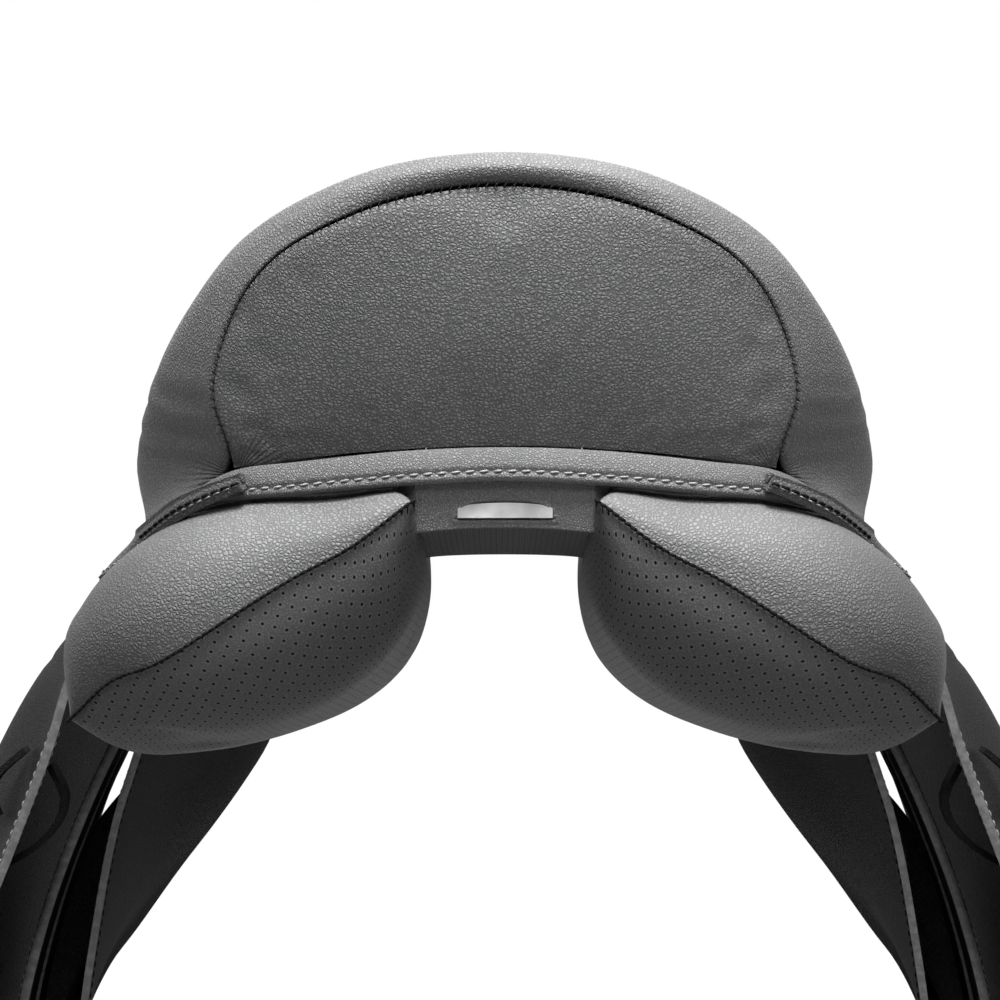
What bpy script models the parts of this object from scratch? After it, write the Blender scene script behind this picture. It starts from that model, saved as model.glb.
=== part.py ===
"""Dressage saddle, built from the tree outwards as a saddler would.

+Y is forward to the pommel, +X is the rider's right, +Z is up. The origin lies on the centre
plane, on the ceiling of the channel at the waist, where the horse's back is nearest.
Tables and sizes are in millimetres, and a mesh is turned to metres when it is made.
"""
import math

import bmesh
import bpy
import numpy as np
from mathutils import Matrix, Vector

MM = 0.001

# Overall sizes. The tables below are drawn for the two drawn sizes, and place() fits them.
SEAT_WIDTH = 300.0
SADDLE_LENGTH = 470.0
DRAWN_WIDTH = 300.0
DRAWN_LENGTH = 470.0
FLAP_BOTTOM = -432.0
SWEAT_BOTTOM = -400.0
STRAP_END = -478.0

# Leather, cloth and steel thicknesses
COVER = 2.2
FLAP_LEATHER = 4.0
SKIRT_LEATHER = 4.0
SWEAT_LEATHER = 3.6
STRAP_LEATHER = 5.0
PANEL_LEATHER = 2.0
LINING = 2.0
FACING = 2.5
TREE_WALL = 6.0
WEB = 1.6
PLATE = 4.0

# Clearances between neighbours
GAP = 0.4
SEAM_GAP = 2.4

# Foam, cushions and pads
SEAT_FOAM = 16.0
SEAT_FOAM_RIM = 5.0
CUSHION_INSET = 8.0
CUSHION_GAP = 0.5
CUSHION_SOLE_GAP = 3.6
BLOCK_HEIGHT = 26.0

# Hardware
STRAP_WIDTH = 26.0
STRAP_HOLE = 5.0
STRAP_HOLE_PITCH = 25.0
STRAP_HOLES = 8
BAR_HEIGHT = 14.0
BAR_LENGTH = 88.0
BAR_REACH = 71.0
BAR_FINGER = 5.0
BAR_THROAT = 8.5
BAR_PLATE = 3.0
RIVET = 5.0
RIVET_HEAD = 9.0
SCREW = 6.0
DEE_WIRE = 3.6
DEE_WIDTH = 24.0
DEE_DROP = 22.0
STUD = 15.0
KEEPER_WIDTH = 18.0
KEEPER_LEATHER = 2.6
BADGE = (37.0, 6.0, 1.6)

# Joint lines: the flap bends along a line parallel to Y, a skirt along the seat's edge
FLAP_FOLD_X = 212.0
FLAP_FOLD_Z = -48.0
FOLD_GAP = 1.2
SKIRT_GAP = 0.8
BLOCK_GAP = 1.0
SKIRT_REAR = (102.2, 21.7, 36.5)

SIDES = (("left", -1.0), ("right", 1.0))

for old in list(bpy.data.objects):
    bpy.data.objects.remove(old, do_unlink=True)

parts = bpy.data.collections.new("dressage_saddle")
cutters = bpy.data.collections.new("cutters")
bpy.context.scene.collection.children.link(parts)
bpy.context.scene.collection.children.link(cutters)


def material(name, colour, roughness, metallic=0.0):
    made = bpy.data.materials.new(name)
    made.use_nodes = True
    shader = made.node_tree.nodes["Principled BSDF"]
    shader.inputs["Base Color"].default_value = (*colour, 1.0)
    shader.inputs["Roughness"].default_value = roughness
    shader.inputs["Metallic"].default_value = metallic
    return made


def place(point):
    """A drawn point, or an array of them, in the chosen overall sizes."""
    scale = np.array([SEAT_WIDTH / DRAWN_WIDTH, SADDLE_LENGTH / DRAWN_LENGTH, 1.0])
    return np.asarray(point, dtype=float) * scale


def smooth(knots, values, at):
    """Cubic through (knots, values) with averaged slopes, held straight at both ends."""
    knots = np.asarray(knots, dtype=float)
    values = np.asarray(values, dtype=float)
    if knots[0] > knots[-1]:
        knots, values = knots[::-1], values[::-1]
    steps = np.diff(values, axis=0) / np.diff(knots).reshape((-1,) + (1,) * (values.ndim - 1))
    slopes = np.concatenate([steps[:1], (steps[:-1] + steps[1:]) / 2, steps[-1:]])
    at = np.clip(np.asarray(at, dtype=float), knots[0], knots[-1])
    span = np.clip(np.searchsorted(knots, at, side="right") - 1, 0, len(knots) - 2)
    width = knots[span + 1] - knots[span]
    f = (at - knots[span]) / width
    shape = f.shape + (1,) * (values.ndim - 1)
    f, width = f.reshape(shape), width.reshape(shape)
    rise = values[span + 1] - values[span]
    first, last = slopes[span] * width, slopes[span + 1] * width
    return (values[span] + first * f + (3 * rise - 2 * first - last) * f ** 2
            + (first + last - 2 * rise) * f ** 3)


def mirrored(point):
    return np.asarray(point, dtype=float) * np.array([-1.0, 1.0, 1.0])


def grid_normals(grid):
    """Unit normals of a (rows, columns, 3) grid of points."""
    along = np.gradient(grid, axis=0)
    across = np.gradient(grid, axis=1)
    normal = np.cross(along, across)
    length = np.linalg.norm(normal, axis=2, keepdims=True)
    return normal / np.maximum(length, 1e-9)


def offset(grid, distance, outward):
    """The grid moved along its normals, where outward is the side that counts as out."""
    normal = grid_normals(grid)
    if np.sum(normal * np.asarray(outward)) < 0:
        normal = -normal
    return grid + normal * distance


def on_plane(grid, source):
    """Points that stood on the centre plane in source are put back on it."""
    grid = grid.copy()
    grid[np.abs(source[:, :, 0]) < 1e-6, 0] = 0.0
    return grid


def new_object(name, points, faces, look):
    mesh = bpy.data.meshes.new(name)
    mesh.from_pydata([tuple(p * MM) for p in np.asarray(points)], [], faces)
    mesh.validate()
    mesh.update()
    made = bpy.data.objects.new(name, mesh)
    parts.objects.link(made)
    mesh.materials.append(look)
    mesh.shade_smooth()
    mesh.set_sharp_from_angle(angle=math.radians(40))
    return made


def grid_faces(rows, columns, start=0, flip=False, mirror=False):
    """Triangles with one diagonal throughout, so stacked layers stay parallel. In the corner
    where two edges lie on the centre plane, the diagonal turns away from the plane.
    """
    faces = []
    for i in range(rows - 1):
        for j in range(columns - 1):
            a = start + i * columns + j
            near, across = a + columns, a + columns + 1
            pair = ((a, near, across), (a, across, a + 1))
            if mirror and i == rows - 2 and j == 0:
                pair = ((a, near, a + 1), (near, across, a + 1))
            faces += [face[::-1] if flip else face for face in pair]
    return faces


def add_mirror(made):
    mirror = made.modifiers.new("mirror", "MIRROR")
    mirror.use_axis = (True, False, False)
    mirror.merge_threshold = 0.0001
    mirror.use_clip = True


def sheet(name, grid, thickness, outward, look, mirror=False):
    """An open surface given as its outer face, thickened inwards by Solidify."""
    rows, columns, _ = grid.shape
    flip = np.sum(grid_normals(grid) * np.asarray(outward)) < 0
    faces = grid_faces(rows, columns, 0, bool(flip), mirror)
    made = new_object(name, grid.reshape(-1, 3), faces, look)
    if mirror:
        add_mirror(made)
    solid = made.modifiers.new("thickness", "SOLIDIFY")
    solid.thickness = thickness * MM
    solid.offset = -1.0
    solid.use_even_offset = True
    solid.use_quality_normals = True
    return made


def layers(name, top, bottom, look, mirror=False):
    """A closed body between two grids. Edges on the centre plane stay open for Mirror."""
    rows, columns, _ = top.shape
    count = rows * columns
    flip = np.sum(grid_normals(top) * (top - bottom)) < 0
    faces = grid_faces(rows, columns, 0, bool(flip), mirror)
    faces += grid_faces(rows, columns, count, not flip, mirror)
    ring = [(i, 0) for i in range(rows - 1)]
    ring += [(rows - 1, j) for j in range(columns - 1)]
    ring += [(i, columns - 1) for i in range(rows - 1, 0, -1)]
    ring += [(0, j) for j in range(columns - 1, 0, -1)]
    points = np.concatenate([top.reshape(-1, 3), bottom.reshape(-1, 3)])
    for k, (i, j) in enumerate(ring):
        a = i * columns + j
        i2, j2 = ring[(k + 1) % len(ring)]
        b = i2 * columns + j2
        if mirror and abs(points[a][0]) < 1e-6 and abs(points[b][0]) < 1e-6:
            continue
        face = (b, a, a + count, b + count)
        faces.append(face[::-1] if flip else face)
    made = new_object(name, points, faces, look)
    if mirror:
        add_mirror(made)
    return made


def cut(made, cutter):
    """Boolean difference with a cutter that the build leaves out."""
    for holder in list(cutter.users_collection):
        holder.objects.unlink(cutter)
    cutters.objects.link(cutter)
    cutter.hide_render = True
    cutter.display_type = "WIRE"
    boolean = made.modifiers.new("cut", "BOOLEAN")
    boolean.operation = "DIFFERENCE"
    boolean.object = cutter


def cylinder(name, radius, length, start, direction, look, segments=20):
    """A rod whose one end is at start and which runs along direction."""
    mesh = bpy.data.meshes.new(name)
    shape = bmesh.new()
    bmesh.ops.create_cone(shape, cap_ends=True, segments=segments, radius1=radius * MM,
                          radius2=radius * MM, depth=length * MM)
    bmesh.ops.translate(shape, verts=shape.verts, vec=(0, 0, length * MM / 2))
    shape.to_mesh(mesh)
    shape.free()
    made = bpy.data.objects.new(name, mesh)
    parts.objects.link(made)
    mesh.materials.append(look)
    turn = Vector((0, 0, 1)).rotation_difference(Vector(tuple(direction)))
    foot = Matrix.Translation(Vector(tuple(np.asarray(start) * MM)))
    made.matrix_world = foot @ turn.to_matrix().to_4x4()
    return made


SEAT_HIDE = material("seat_leather", (0.055, 0.055, 0.058), 0.42)
FLAP_HIDE = material("flap_leather", (0.040, 0.040, 0.042), 0.48)
PANEL_HIDE = material("panel_leather", (0.060, 0.060, 0.062), 0.55)
STRAP_HIDE = material("strap_leather", (0.030, 0.030, 0.031), 0.50)
FOAM = material("foam", (0.55, 0.53, 0.42), 0.95)
TREE_PLASTIC = material("tree_plastic", (0.07, 0.075, 0.08), 0.55)
STEEL = material("steel", (0.62, 0.62, 0.63), 0.28, 1.0)
WEBBING = material("webbing", (0.75, 0.73, 0.68), 0.9)
RUBBER = material("air_cushion", (0.10, 0.10, 0.11), 0.7)
BADGE_METAL = material("badge_plate", (0.72, 0.72, 0.71), 0.35)

# The seat is one net of points. Each row runs from the centre line over the bowl to the crest
# of the roll and down its outer side to the edge; rows run from the cantle round to the pommel.
SEAT_CENTRE_Y = [-150, -149, -146, -141, -134, -124, -112, -98, -80, -45, 0, 55, 115, 158, 184, 196]
SEAT_PROFILE_Y = [-150, -100, -50, 0, 50, 100, 150, 180, 196]
SEAT_PROFILE_Z = [68, 61, 58, 59, 65, 79, 101, 117, 126]
SEAT_CREST = [(0, -243, 157), (40, -239, 152), (72, -229, 141), (98, -211, 126), (116, -192, 106),
              (131, -172, 84), (141, -150, 64), (146, -128, 54), (143, -100, 50), (128, -55, 48),
              (104, -5, 49), (88, 55, 58), (73, 120, 80), (60, 170, 100), (44, 198, 116), (0, 208, 130)]
SEAT_OUTER = [(0, -253, 152), (42, -249, 147), (75, -238, 134), (103, -219, 117), (123, -199, 95),
              (138, -179, 70), (149, -158, 48), (151, -138, 36), (149, -110, 32), (134, -62, 38),
              (109, -6, 42), (94, 56, 53), (80, 121, 74), (68, 173, 93), (50, 206, 108), (0, 219, 121)]
SEAT_EDGE = [(0, -250, 146), (36, -249, 142), (64, -245, 133), (90, -236, 119), (107, -226, 98),
             (116, -219, 67), (110, -216, 38), (131, -190, 25), (143, -155, 17.5), (127, -90, 26.5),
             (105, -5, 34.5), (92, 58, 49), (77, 123, 70), (66, 174, 87), (47, 208, 98), (0, 219, 108)]
BOWL_SHARES = ((0.35, 0.06), (0.70, 0.38), (0.90, 0.78))
SEAM_LAST = 5.85


def seat_net():
    """Control points of the right half, 16 rows of 7."""
    net = []
    for y, crest, outer, edge in zip(SEAT_CENTRE_Y, SEAT_CREST, SEAT_OUTER, SEAT_EDGE):
        centre = np.array([0.0, y, smooth(SEAT_PROFILE_Y, SEAT_PROFILE_Z, y)])
        crest = np.array(crest, dtype=float)
        row = [centre]
        for reach, rise in BOWL_SHARES:
            point = centre + (crest - centre) * reach
            point[2] = centre[2] + (crest[2] - centre[2]) * rise
            row.append(point)
        net.append(row + [crest, np.array(outer, dtype=float), np.array(edge, dtype=float)])
    return place(np.array(net))


def spread(points, at):
    """Catmull-Rom through the first axis of points, with a ghost row at each end."""
    ghost_first, body, ghost_last = points
    rows = np.concatenate([[ghost_first], body, [ghost_last]])
    at = np.atleast_1d(np.asarray(at, dtype=float))
    span = np.clip(np.floor(at).astype(int), 0, len(body) - 2)
    f = (at - span).reshape((-1,) + (1,) * (body.ndim - 1))
    p0, p1, p2, p3 = rows[span], rows[span + 1], rows[span + 2], rows[span + 3]
    return 0.5 * (2 * p1 + (p2 - p0) * f + (2 * p0 - 5 * p1 + 4 * p2 - p3) * f ** 2
                  + (3 * p1 - p0 - 3 * p2 + p3) * f ** 3)


def seat_surface(round_at, across_at):
    """Points of the seat at the given row and column places, as a grid."""
    net = seat_net()
    rows = spread((mirrored(net[1]), net, mirrored(net[-2])), round_at)
    columns = np.swapaxes(rows, 0, 1)
    last = 2 * columns[-1] - columns[-2]
    grid = spread((mirrored(columns[1]), columns, last), across_at)
    grid = np.swapaxes(grid, 0, 1)
    ends = [index for index, at in enumerate(round_at) if at in (0, len(net) - 1)]
    grid[ends, :, 0] = 0.0
    if np.atleast_1d(across_at)[0] == 0:
        grid[:, 0, 0] = 0.0
    return grid


FOAM_COLUMN = 5.0
ROUND = np.array([0, 1, 2, 3, 4, 5, 5.5, 6, 6.5, 7, 8, 9, 10, 11, 12, 13, 14, 14.5, 15])
ACROSS = np.array([0, 1, 2, 2.6, 3.2, 3.7, 4, 4.4, 5, 5.5, 6])


def seat_cover():
    outer = seat_surface(ROUND, ACROSS)
    inner = on_plane(offset(outer, -COVER, (0, 0, 1)), outer)
    layers("seat_cover", outer, inner, SEAT_HIDE, mirror=True)


# The tree lies under the foam, behind the wall of the bowl. Along its side it has an apron, a
# short lip at the cantle and the rails, which grows into the points at the head.
TREE_INNER = 1.2
TREE_EDGE = 2.9
APRON = [4, 4, 4, 4, 4, 5, 5, 5, 6, 6, 10, 12, 82, 82, 26, 6]
POINT_SLOPE = (0.36, 0.0, -0.933)
POINT_NORMAL = np.array([0.933, 0.0, 0.36])
HEAD_ROW = 10.5


def foam_bottom(across_at, extra=0.0):
    """The under side of the foam, thinner towards the roll."""
    grid = seat_surface(ROUND, across_at)
    normal = grid_normals(grid)
    if np.sum(normal[:, :, 2]) < 0:
        normal = -normal
    share = (np.asarray(across_at) / TREE_EDGE).reshape(1, -1, 1)
    depth = SEAT_FOAM + (SEAT_FOAM_RIM - SEAT_FOAM) * share ** 2 + extra
    return on_plane(grid - normal * depth, grid)


def seat_foam():
    """Foam from the centre line to the outer side of the roll, on the same lines as the cover."""
    outer = seat_surface(ROUND, ACROSS)
    kept = ACROSS <= FOAM_COLUMN
    top = on_plane(offset(outer, -(COVER + GAP), (0, 0, 1)), outer)[:, kept]
    bottom = foam_bottom(ACROSS[kept] * TREE_EDGE / FOAM_COLUMN)
    layers("seat_foam", top, bottom, FOAM, mirror=True)


def tree():
    """A dished shell under the foam whose edge runs down into the two points at the front."""
    columns = ACROSS[ACROSS <= FOAM_COLUMN] * TREE_EDGE / FOAM_COLUMN
    kept = columns > TREE_INNER
    outer = foam_bottom(columns, extra=GAP)[:, kept]
    inner = foam_bottom(columns, extra=GAP + TREE_WALL)[:, kept]
    edge = outer[:, -1]
    across_edge = inner[:, -1] - edge
    reach = smooth(range(len(APRON)), APRON, ROUND).reshape(-1, 1)
    head = np.clip((ROUND - HEAD_ROW) / 0.5, 0.0, 1.0) * np.clip((ROUND[-1] - ROUND) / 1.5, 0.0, 1.0)
    lean = head.reshape(-1, 1)
    top, bottom = [outer], [inner]
    for share, first, last in ((0.5, 0.25, 0.8), (1.0, 0.45, 0.6)):
        point = edge + np.array(POINT_SLOPE) * reach * share
        top.append(((edge + across_edge * first) * (1.0 - lean) + point * lean)[:, None, :])
        point = point - POINT_NORMAL * TREE_WALL
        bottom.append(((edge + across_edge * last) * (1.0 - lean) + point * lean)[:, None, :])
    top, bottom = np.concatenate(top, axis=1), np.concatenate(bottom, axis=1)
    top[[0, -1], :, 0] = 0.0
    bottom[[0, -1], :, 0] = 0.0
    return layers("tree", top, bottom, TREE_PLASTIC, mirror=True)


# The cantle back fills the D inside the stitched seam. Its foot follows the top of the band.
BACK_FOOT = [(0, -235, 45.2), (20, -234.6, 44.8), (40, -233.5, 43.8), (60, -231, 42.3),
             (80, -227, 40.2), (98, -221, 37.7), (107, -216, 36.6)]
BACK_BULGE = 4.0
BULGE_REACH = 60.0
BACK_CENTRE_Z = 75.0
BAND_TOP = [(0, -236, 44.5), (40, -234.5, 43), (80, -228, 39), (107, -217, 35.5), (128, -198, 24.5),
            (143, -166, 14)]
BAND_FOOT = [(0, -238.5, 32), (40, -237, 30), (80, -230.5, 26.5), (107, -219, 24), (126, -200, 19),
             (140, -167, 11)]


def along(points, at):
    """Points along an open run of table points that starts on the centre plane."""
    body = place(np.array(points, dtype=float))
    ghost = mirrored(body[1]) if abs(body[0][0]) < 1e-6 else 2 * body[0] - body[1]
    run = spread((ghost, body, 2 * body[-1] - body[-2]), at)
    run[np.abs(run[:, 0]) < 1e-6, 0] = 0.0
    return run


def between(first, second, shares):
    """A grid that runs straight from the first run of points to the second."""
    shares = np.asarray(shares, dtype=float).reshape(1, -1, 1)
    return first[:, None, :] * (1 - shares) + second[:, None, :] * shares


def cantle_back():
    round_at = np.array([0, 1, 2, 3, 4, 5, 5.5, SEAM_LAST])
    seam = seat_surface(round_at, [6.0])[:, 0]
    inward = np.array([0.0, 0.0, BACK_CENTRE_Z]) - seam
    inward[:, 1] = 0.0
    seam = seam + inward / np.linalg.norm(inward, axis=1).reshape(-1, 1) * SEAM_GAP
    foot = along(BACK_FOOT, round_at * (len(BACK_FOOT) - 1) / SEAM_LAST)
    shares = np.array([0.0, 0.12, 0.35, 0.6, 0.85, 1.0])
    grid = between(foot, seam, shares)
    reach = np.linalg.norm(seam - foot, axis=1).reshape(-1, 1)
    bulge = BACK_BULGE * np.sin(np.pi * shares).reshape(1, -1) * np.minimum(reach / BULGE_REACH, 1.0)
    grid[:, :, 1] -= bulge
    grid[0, :, 0] = 0.0
    layers("cantle_back", grid, grid + np.array([0.0, FACING, 0.0]), SEAT_HIDE, mirror=True)


def cantle_band():
    round_at = np.linspace(0, 5, 11)
    grid = between(along(BAND_TOP, round_at), along(BAND_FOOT, round_at), [0, 0.35, 0.7, 1])
    grid = on_plane(grid, grid)
    inner = on_plane(offset(grid, -FACING, (0, -1, 0)), grid)
    layers("cantle_band", grid, inner, SEAT_HIDE, mirror=True)


# The rear facing closes the arch between the panels, with the badge in its recess.
FACING_Y = -233.8
FACING_LEAN = 3.0
FACING_TOP = 36.0
FACING_FOOT = 14.0
FACING_HALF = 34.0
FACING_ARCH = 2.0
BADGE_FOOT = 17.0


def rear_facing():
    across = np.linspace(0.0, 1.0, 5)
    top = np.array([(FACING_HALF * a, FACING_Y, FACING_TOP - FACING_ARCH * a * a) for a in across])
    foot_y = FACING_Y + FACING_LEAN
    foot = np.array([(FACING_HALF * a, foot_y, FACING_FOOT - FACING_ARCH * a * a) for a in across])
    grid = between(place(top), place(foot), [0, 0.5, 1])
    layers("rear_facing", grid, grid + np.array([0.0, FACING, 0.0]), PANEL_HIDE, mirror=True)


def badge():
    """A bare plate with a straight foot and an arched top."""
    wide, tall, thick = BADGE
    curve = bpy.data.curves.new("badge", "CURVE")
    curve.dimensions = "2D"
    curve.fill_mode = "BOTH"
    curve.extrude = thick / 2 * MM
    line = curve.splines.new("POLY")
    steps = 9
    top = [(wide / 2 * math.cos(math.pi * k / (steps - 1)),
            tall * (0.62 + 0.38 * math.sin(math.pi * k / (steps - 1)))) for k in range(steps)]
    points = [(wide / 2, 0.0)] + top + [(-wide / 2, 0.0)]
    line.points.add(len(points) - 1)
    for point, (x, z) in zip(line.points, points):
        point.co = (x * MM, z * MM, 0.0, 1.0)
    line.use_cyclic_u = True
    made = bpy.data.objects.new("badge", curve)
    parts.objects.link(made)
    curve.materials.append(BADGE_METAL)
    depth = place((0, FACING_Y, 0))[1] + FACING_LEAN / 2 - GAP - thick / 2
    made.location = (0.0, depth * MM, BADGE_FOOT * MM)
    made.rotation_euler = (math.radians(90), 0.0, 0.0)


# A panel is two sheets that meet in a seam: the plain gusset above and the perforated bearing
# leather below. Each section is a chord from the channel to the outer seam, with the bulge of
# both sheets square to it. Rows: Y, chord start (x, z), chord end (x, z), gusset and lower bulge.
PANEL_ROWS = [
    (-190, (36, 24), (172, -64), 45.3, 47.0),
    (-100, (36, 10), (160, -68), 40.0, 44.0),
    (0, (36, 0), (139, -72), 28.0, 34.0),
    (100, (39, 10), (122, -76), 15.0, 27.0),
    (190, (43, 24), (108, -74), 9.0, 20.0),
]
CHORD_AT = [0, 0.05, 0.12, 0.19, 0.3, 0.45, 0.6, 0.76, 0.88, 0.96, 1]
GUSSET_SHAPE = [(0, 0), (0.12, 0.34), (0.33, 0.8), (0.55, 1.0), (0.83, 0.82), (0.96, 0.4), (1, 0)]
LOWER_SHAPE = [(0, 0), (0.09, 0.52), (0.185, 0.93), (0.4, 1.0), (0.6, 0.86), (0.8, 0.66), (0.93, 0.45),
               (1, 0)]
PANEL_BACK_Y = -250.0
PANEL_FRONT_Y = 206.0
PANEL_NOSE = 62.0
PANEL_TOE = 26.0
NOSE_CORNER = 34.0
NOSE_POWER = 2.4
CUSHION_ROWS = 6


def nose(y, chord_at, back, front):
    """How full the section is at y, from 0 on the seam at either end to 1."""
    back = back + NOSE_CORNER * np.maximum(0.0, (chord_at - 0.35) / 0.65) ** 2.2
    back = back + 5.0 * np.maximum(0.0, 1 - chord_at / 0.15) ** 2
    rear = np.clip((back + PANEL_NOSE - y) / PANEL_NOSE, 0.0, 1.0)
    toe = np.clip((y - (front - PANEL_TOE)) / PANEL_TOE, 0.0, 1.0)
    fade = np.maximum(rear, toe)
    return (1.0 - fade ** NOSE_POWER) ** (1 / NOSE_POWER), back


def panel_sheet(lower, inset=0.0, sink=0.0, span=(0.0, 1.0), rows=12, lift=0.0):
    """Points of one sheet of the right panel: rows along Y, columns across the chord. The sheet
    is drawn in from its seam by inset, and its bulge is lower by sink.
    """
    chord_at = np.array(CHORD_AT)
    shape = LOWER_SHAPE if lower else GUSSET_SHAPE
    fullness = smooth([a for a, _ in shape], [h for _, h in shape], chord_at)
    knots = [row[0] for row in PANEL_ROWS]
    steps = np.sin(np.linspace(-np.pi / 2, np.pi / 2, rows)) * 0.5 + 0.5
    steps = 0.55 * steps + 0.45 * np.linspace(0, 1, rows)
    grid = np.zeros((rows, len(chord_at), 3))
    for j, a in enumerate(chord_at):
        _, back = nose(0.0, a, PANEL_BACK_Y, PANEL_FRONT_Y)
        first = back + inset
        last = PANEL_FRONT_Y - inset
        whole = last - first
        for i, step in enumerate(steps):
            y = first + whole * (span[0] + (span[1] - span[0]) * step)
            start = smooth(knots, [row[1] for row in PANEL_ROWS], y)
            end = smooth(knots, [row[2] for row in PANEL_ROWS], y)
            height = smooth(knots, [row[4] if lower else row[3] for row in PANEL_ROWS], y)
            chord = end - start
            length = np.linalg.norm(chord)
            normal = np.array([-chord[1], chord[0]]) / length
            full, _ = nose(y, a, PANEL_BACK_Y + inset, PANEL_FRONT_Y - inset)
            inner_share = inset / length
            along_chord = inner_share + (1 - 2 * inner_share) * a
            reach = max(height - sink, 2.0) * fullness[j] * full * (-1 if lower else 1)
            x, z = start + chord * along_chord + normal * (reach + lift)
            grid[i, j] = (x, y, z)
    return place(grid)


def shell(name, lower, flip, lift=0.0):
    """A panel leather whose rim lies flat on the seam surface, so the two leathers meet there."""
    outer = panel_sheet(lower, lift=lift)
    inner = panel_sheet(lower, PANEL_LEATHER, PANEL_LEATHER, lift=lift)
    layers(name, outer * flip, inner * flip, PANEL_HIDE)


def panels(side_name, side):
    flip = np.array([side, 1.0, 1.0])
    shell("panel_" + side_name, True, flip)
    shell("gusset_" + side_name, False, flip, lift=GAP)
    for end, span in (("rear", (0.05, 0.47)), ("front", (0.5, 0.94))):
        top = panel_sheet(False, CUSHION_INSET, PANEL_LEATHER + CUSHION_GAP, span, CUSHION_ROWS, GAP)
        sole = PANEL_LEATHER + CUSHION_SOLE_GAP
        bottom = panel_sheet(True, CUSHION_INSET, sole, span, CUSHION_ROWS, -GAP)
        layers("air_cushion_" + end + "_" + side_name, top * flip, bottom * flip, RUBBER)


# The hull is the outer face of the flaps: half widths at each height, for runs along Y. The
# skirts lie on it, and everything under the flaps stays inside it.
HULL_Y = [-215, -120, -60, 20, 110, 190, 240]
HULL_Z = [80, 55, 30, 10, -10, -30, -50, -80, -120, -170, -230, -330, -440]
HULL_X = [
    [60, 80, 107, 141, 160, 172, 181, 192, 202, 212, 220, 226, 226],
    [62, 84, 110, 142, 163, 177, 187, 197, 209, 222, 234, 244, 244],
    [64, 86, 110, 140, 163, 178, 189, 199, 215, 234, 247, 257, 257],
    [60, 78, 101, 133, 164, 191, 208, 226, 243, 254, 261, 267, 267],
    [62, 84, 110, 136, 162, 184, 203, 219, 238, 252, 260, 267, 267],
    [64, 85, 108, 127, 147, 166, 182, 199, 217, 233, 246, 256, 256],
    [58, 76, 96, 113, 131, 149, 165, 183, 202, 219, 233, 244, 244],
]


def surface_x(y, z, rows_y, rows_z, rows_x):
    """Half width of a side surface at each (y, z), from a table of runs."""
    y, z = np.broadcast_arrays(np.asarray(y, dtype=float), np.asarray(z, dtype=float))
    runs = np.array([smooth(rows_z, row, z.ravel()) for row in rows_x])
    weights = np.eye(len(rows_y))
    shares = smooth(rows_y, weights, y.ravel())
    return np.einsum("kj,jk->k", shares, runs).reshape(y.shape)


def hull_grid(y, z):
    grid = np.stack([surface_x(y, z, HULL_Y, HULL_Z, HULL_X), y, z], axis=-1)
    return place(grid)


def outline_sheet(name, side, y_grid, z_grid, thickness, lift, look):
    """Leather on the hull, with its outer face lifted off the hull by lift."""
    flip = np.array([side, 1.0, 1.0])
    grid = hull_grid(y_grid, z_grid)
    if lift:
        grid = offset(grid, lift, (1, 0, 0.2))
    return sheet(name, grid * flip, thickness, (side, 0, 0.2), look)


def set_origin(made, point):
    """Moves an object's origin, in millimetres, without moving its shape."""
    shift = Vector(tuple(np.asarray(point, dtype=float) * MM))
    made.data.transform(Matrix.Translation(-shift))
    made.location = shift


def fold_point(side):
    return np.array([side * FLAP_FOLD_X, 0.0, FLAP_FOLD_Z])


# Side views of the flap leathers, as (z, rear y, front y) down each one
FLAP_EDGES = [(-48, -84, 228), (-120, -76, 236), (-200, -66, 238), (-280, -55, 233), (-350, -38, 218),
              (-395, -14, 196), (-420, 18, 168), (-432, 50, 135)]
HEAD_TOP = [(-84, 20), (-20, 26.5), (22, 31), (58, 43.5), (123, 64), (174, 80), (192, 76)]
HEAD_FOOT_Y = (-84, 228)
SLOT_Y = (72.0, 162.0)
SLOT_Z = 22.0
SLOT_DROP = 26.0


def flap(side_name, side):
    share = np.linspace(0, 1, 10)
    top = FLAP_FOLD_Z - FOLD_GAP
    scale = (FLAP_BOTTOM - top) / (FLAP_EDGES[-1][0] - FLAP_EDGES[0][0])
    heights = [top + (edge[0] - FLAP_EDGES[0][0]) * scale for edge in FLAP_EDGES]
    z = top + (FLAP_BOTTOM - top) * np.array([0, .06, .13, .21, .3, .4, .5, .6, .7, .8, .88, .94, .98, 1])
    rear = smooth(heights, [edge[1] for edge in FLAP_EDGES], z)
    front = smooth(heights, [edge[2] for edge in FLAP_EDGES], z)
    y_grid = rear[:, None] + (front - rear)[:, None] * share
    z_grid = z[:, None] + 0 * y_grid
    made = outline_sheet("flap_" + side_name, side, y_grid, z_grid, FLAP_LEATHER, 0, FLAP_HIDE)
    set_origin(made, place(fold_point(side)))


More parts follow.
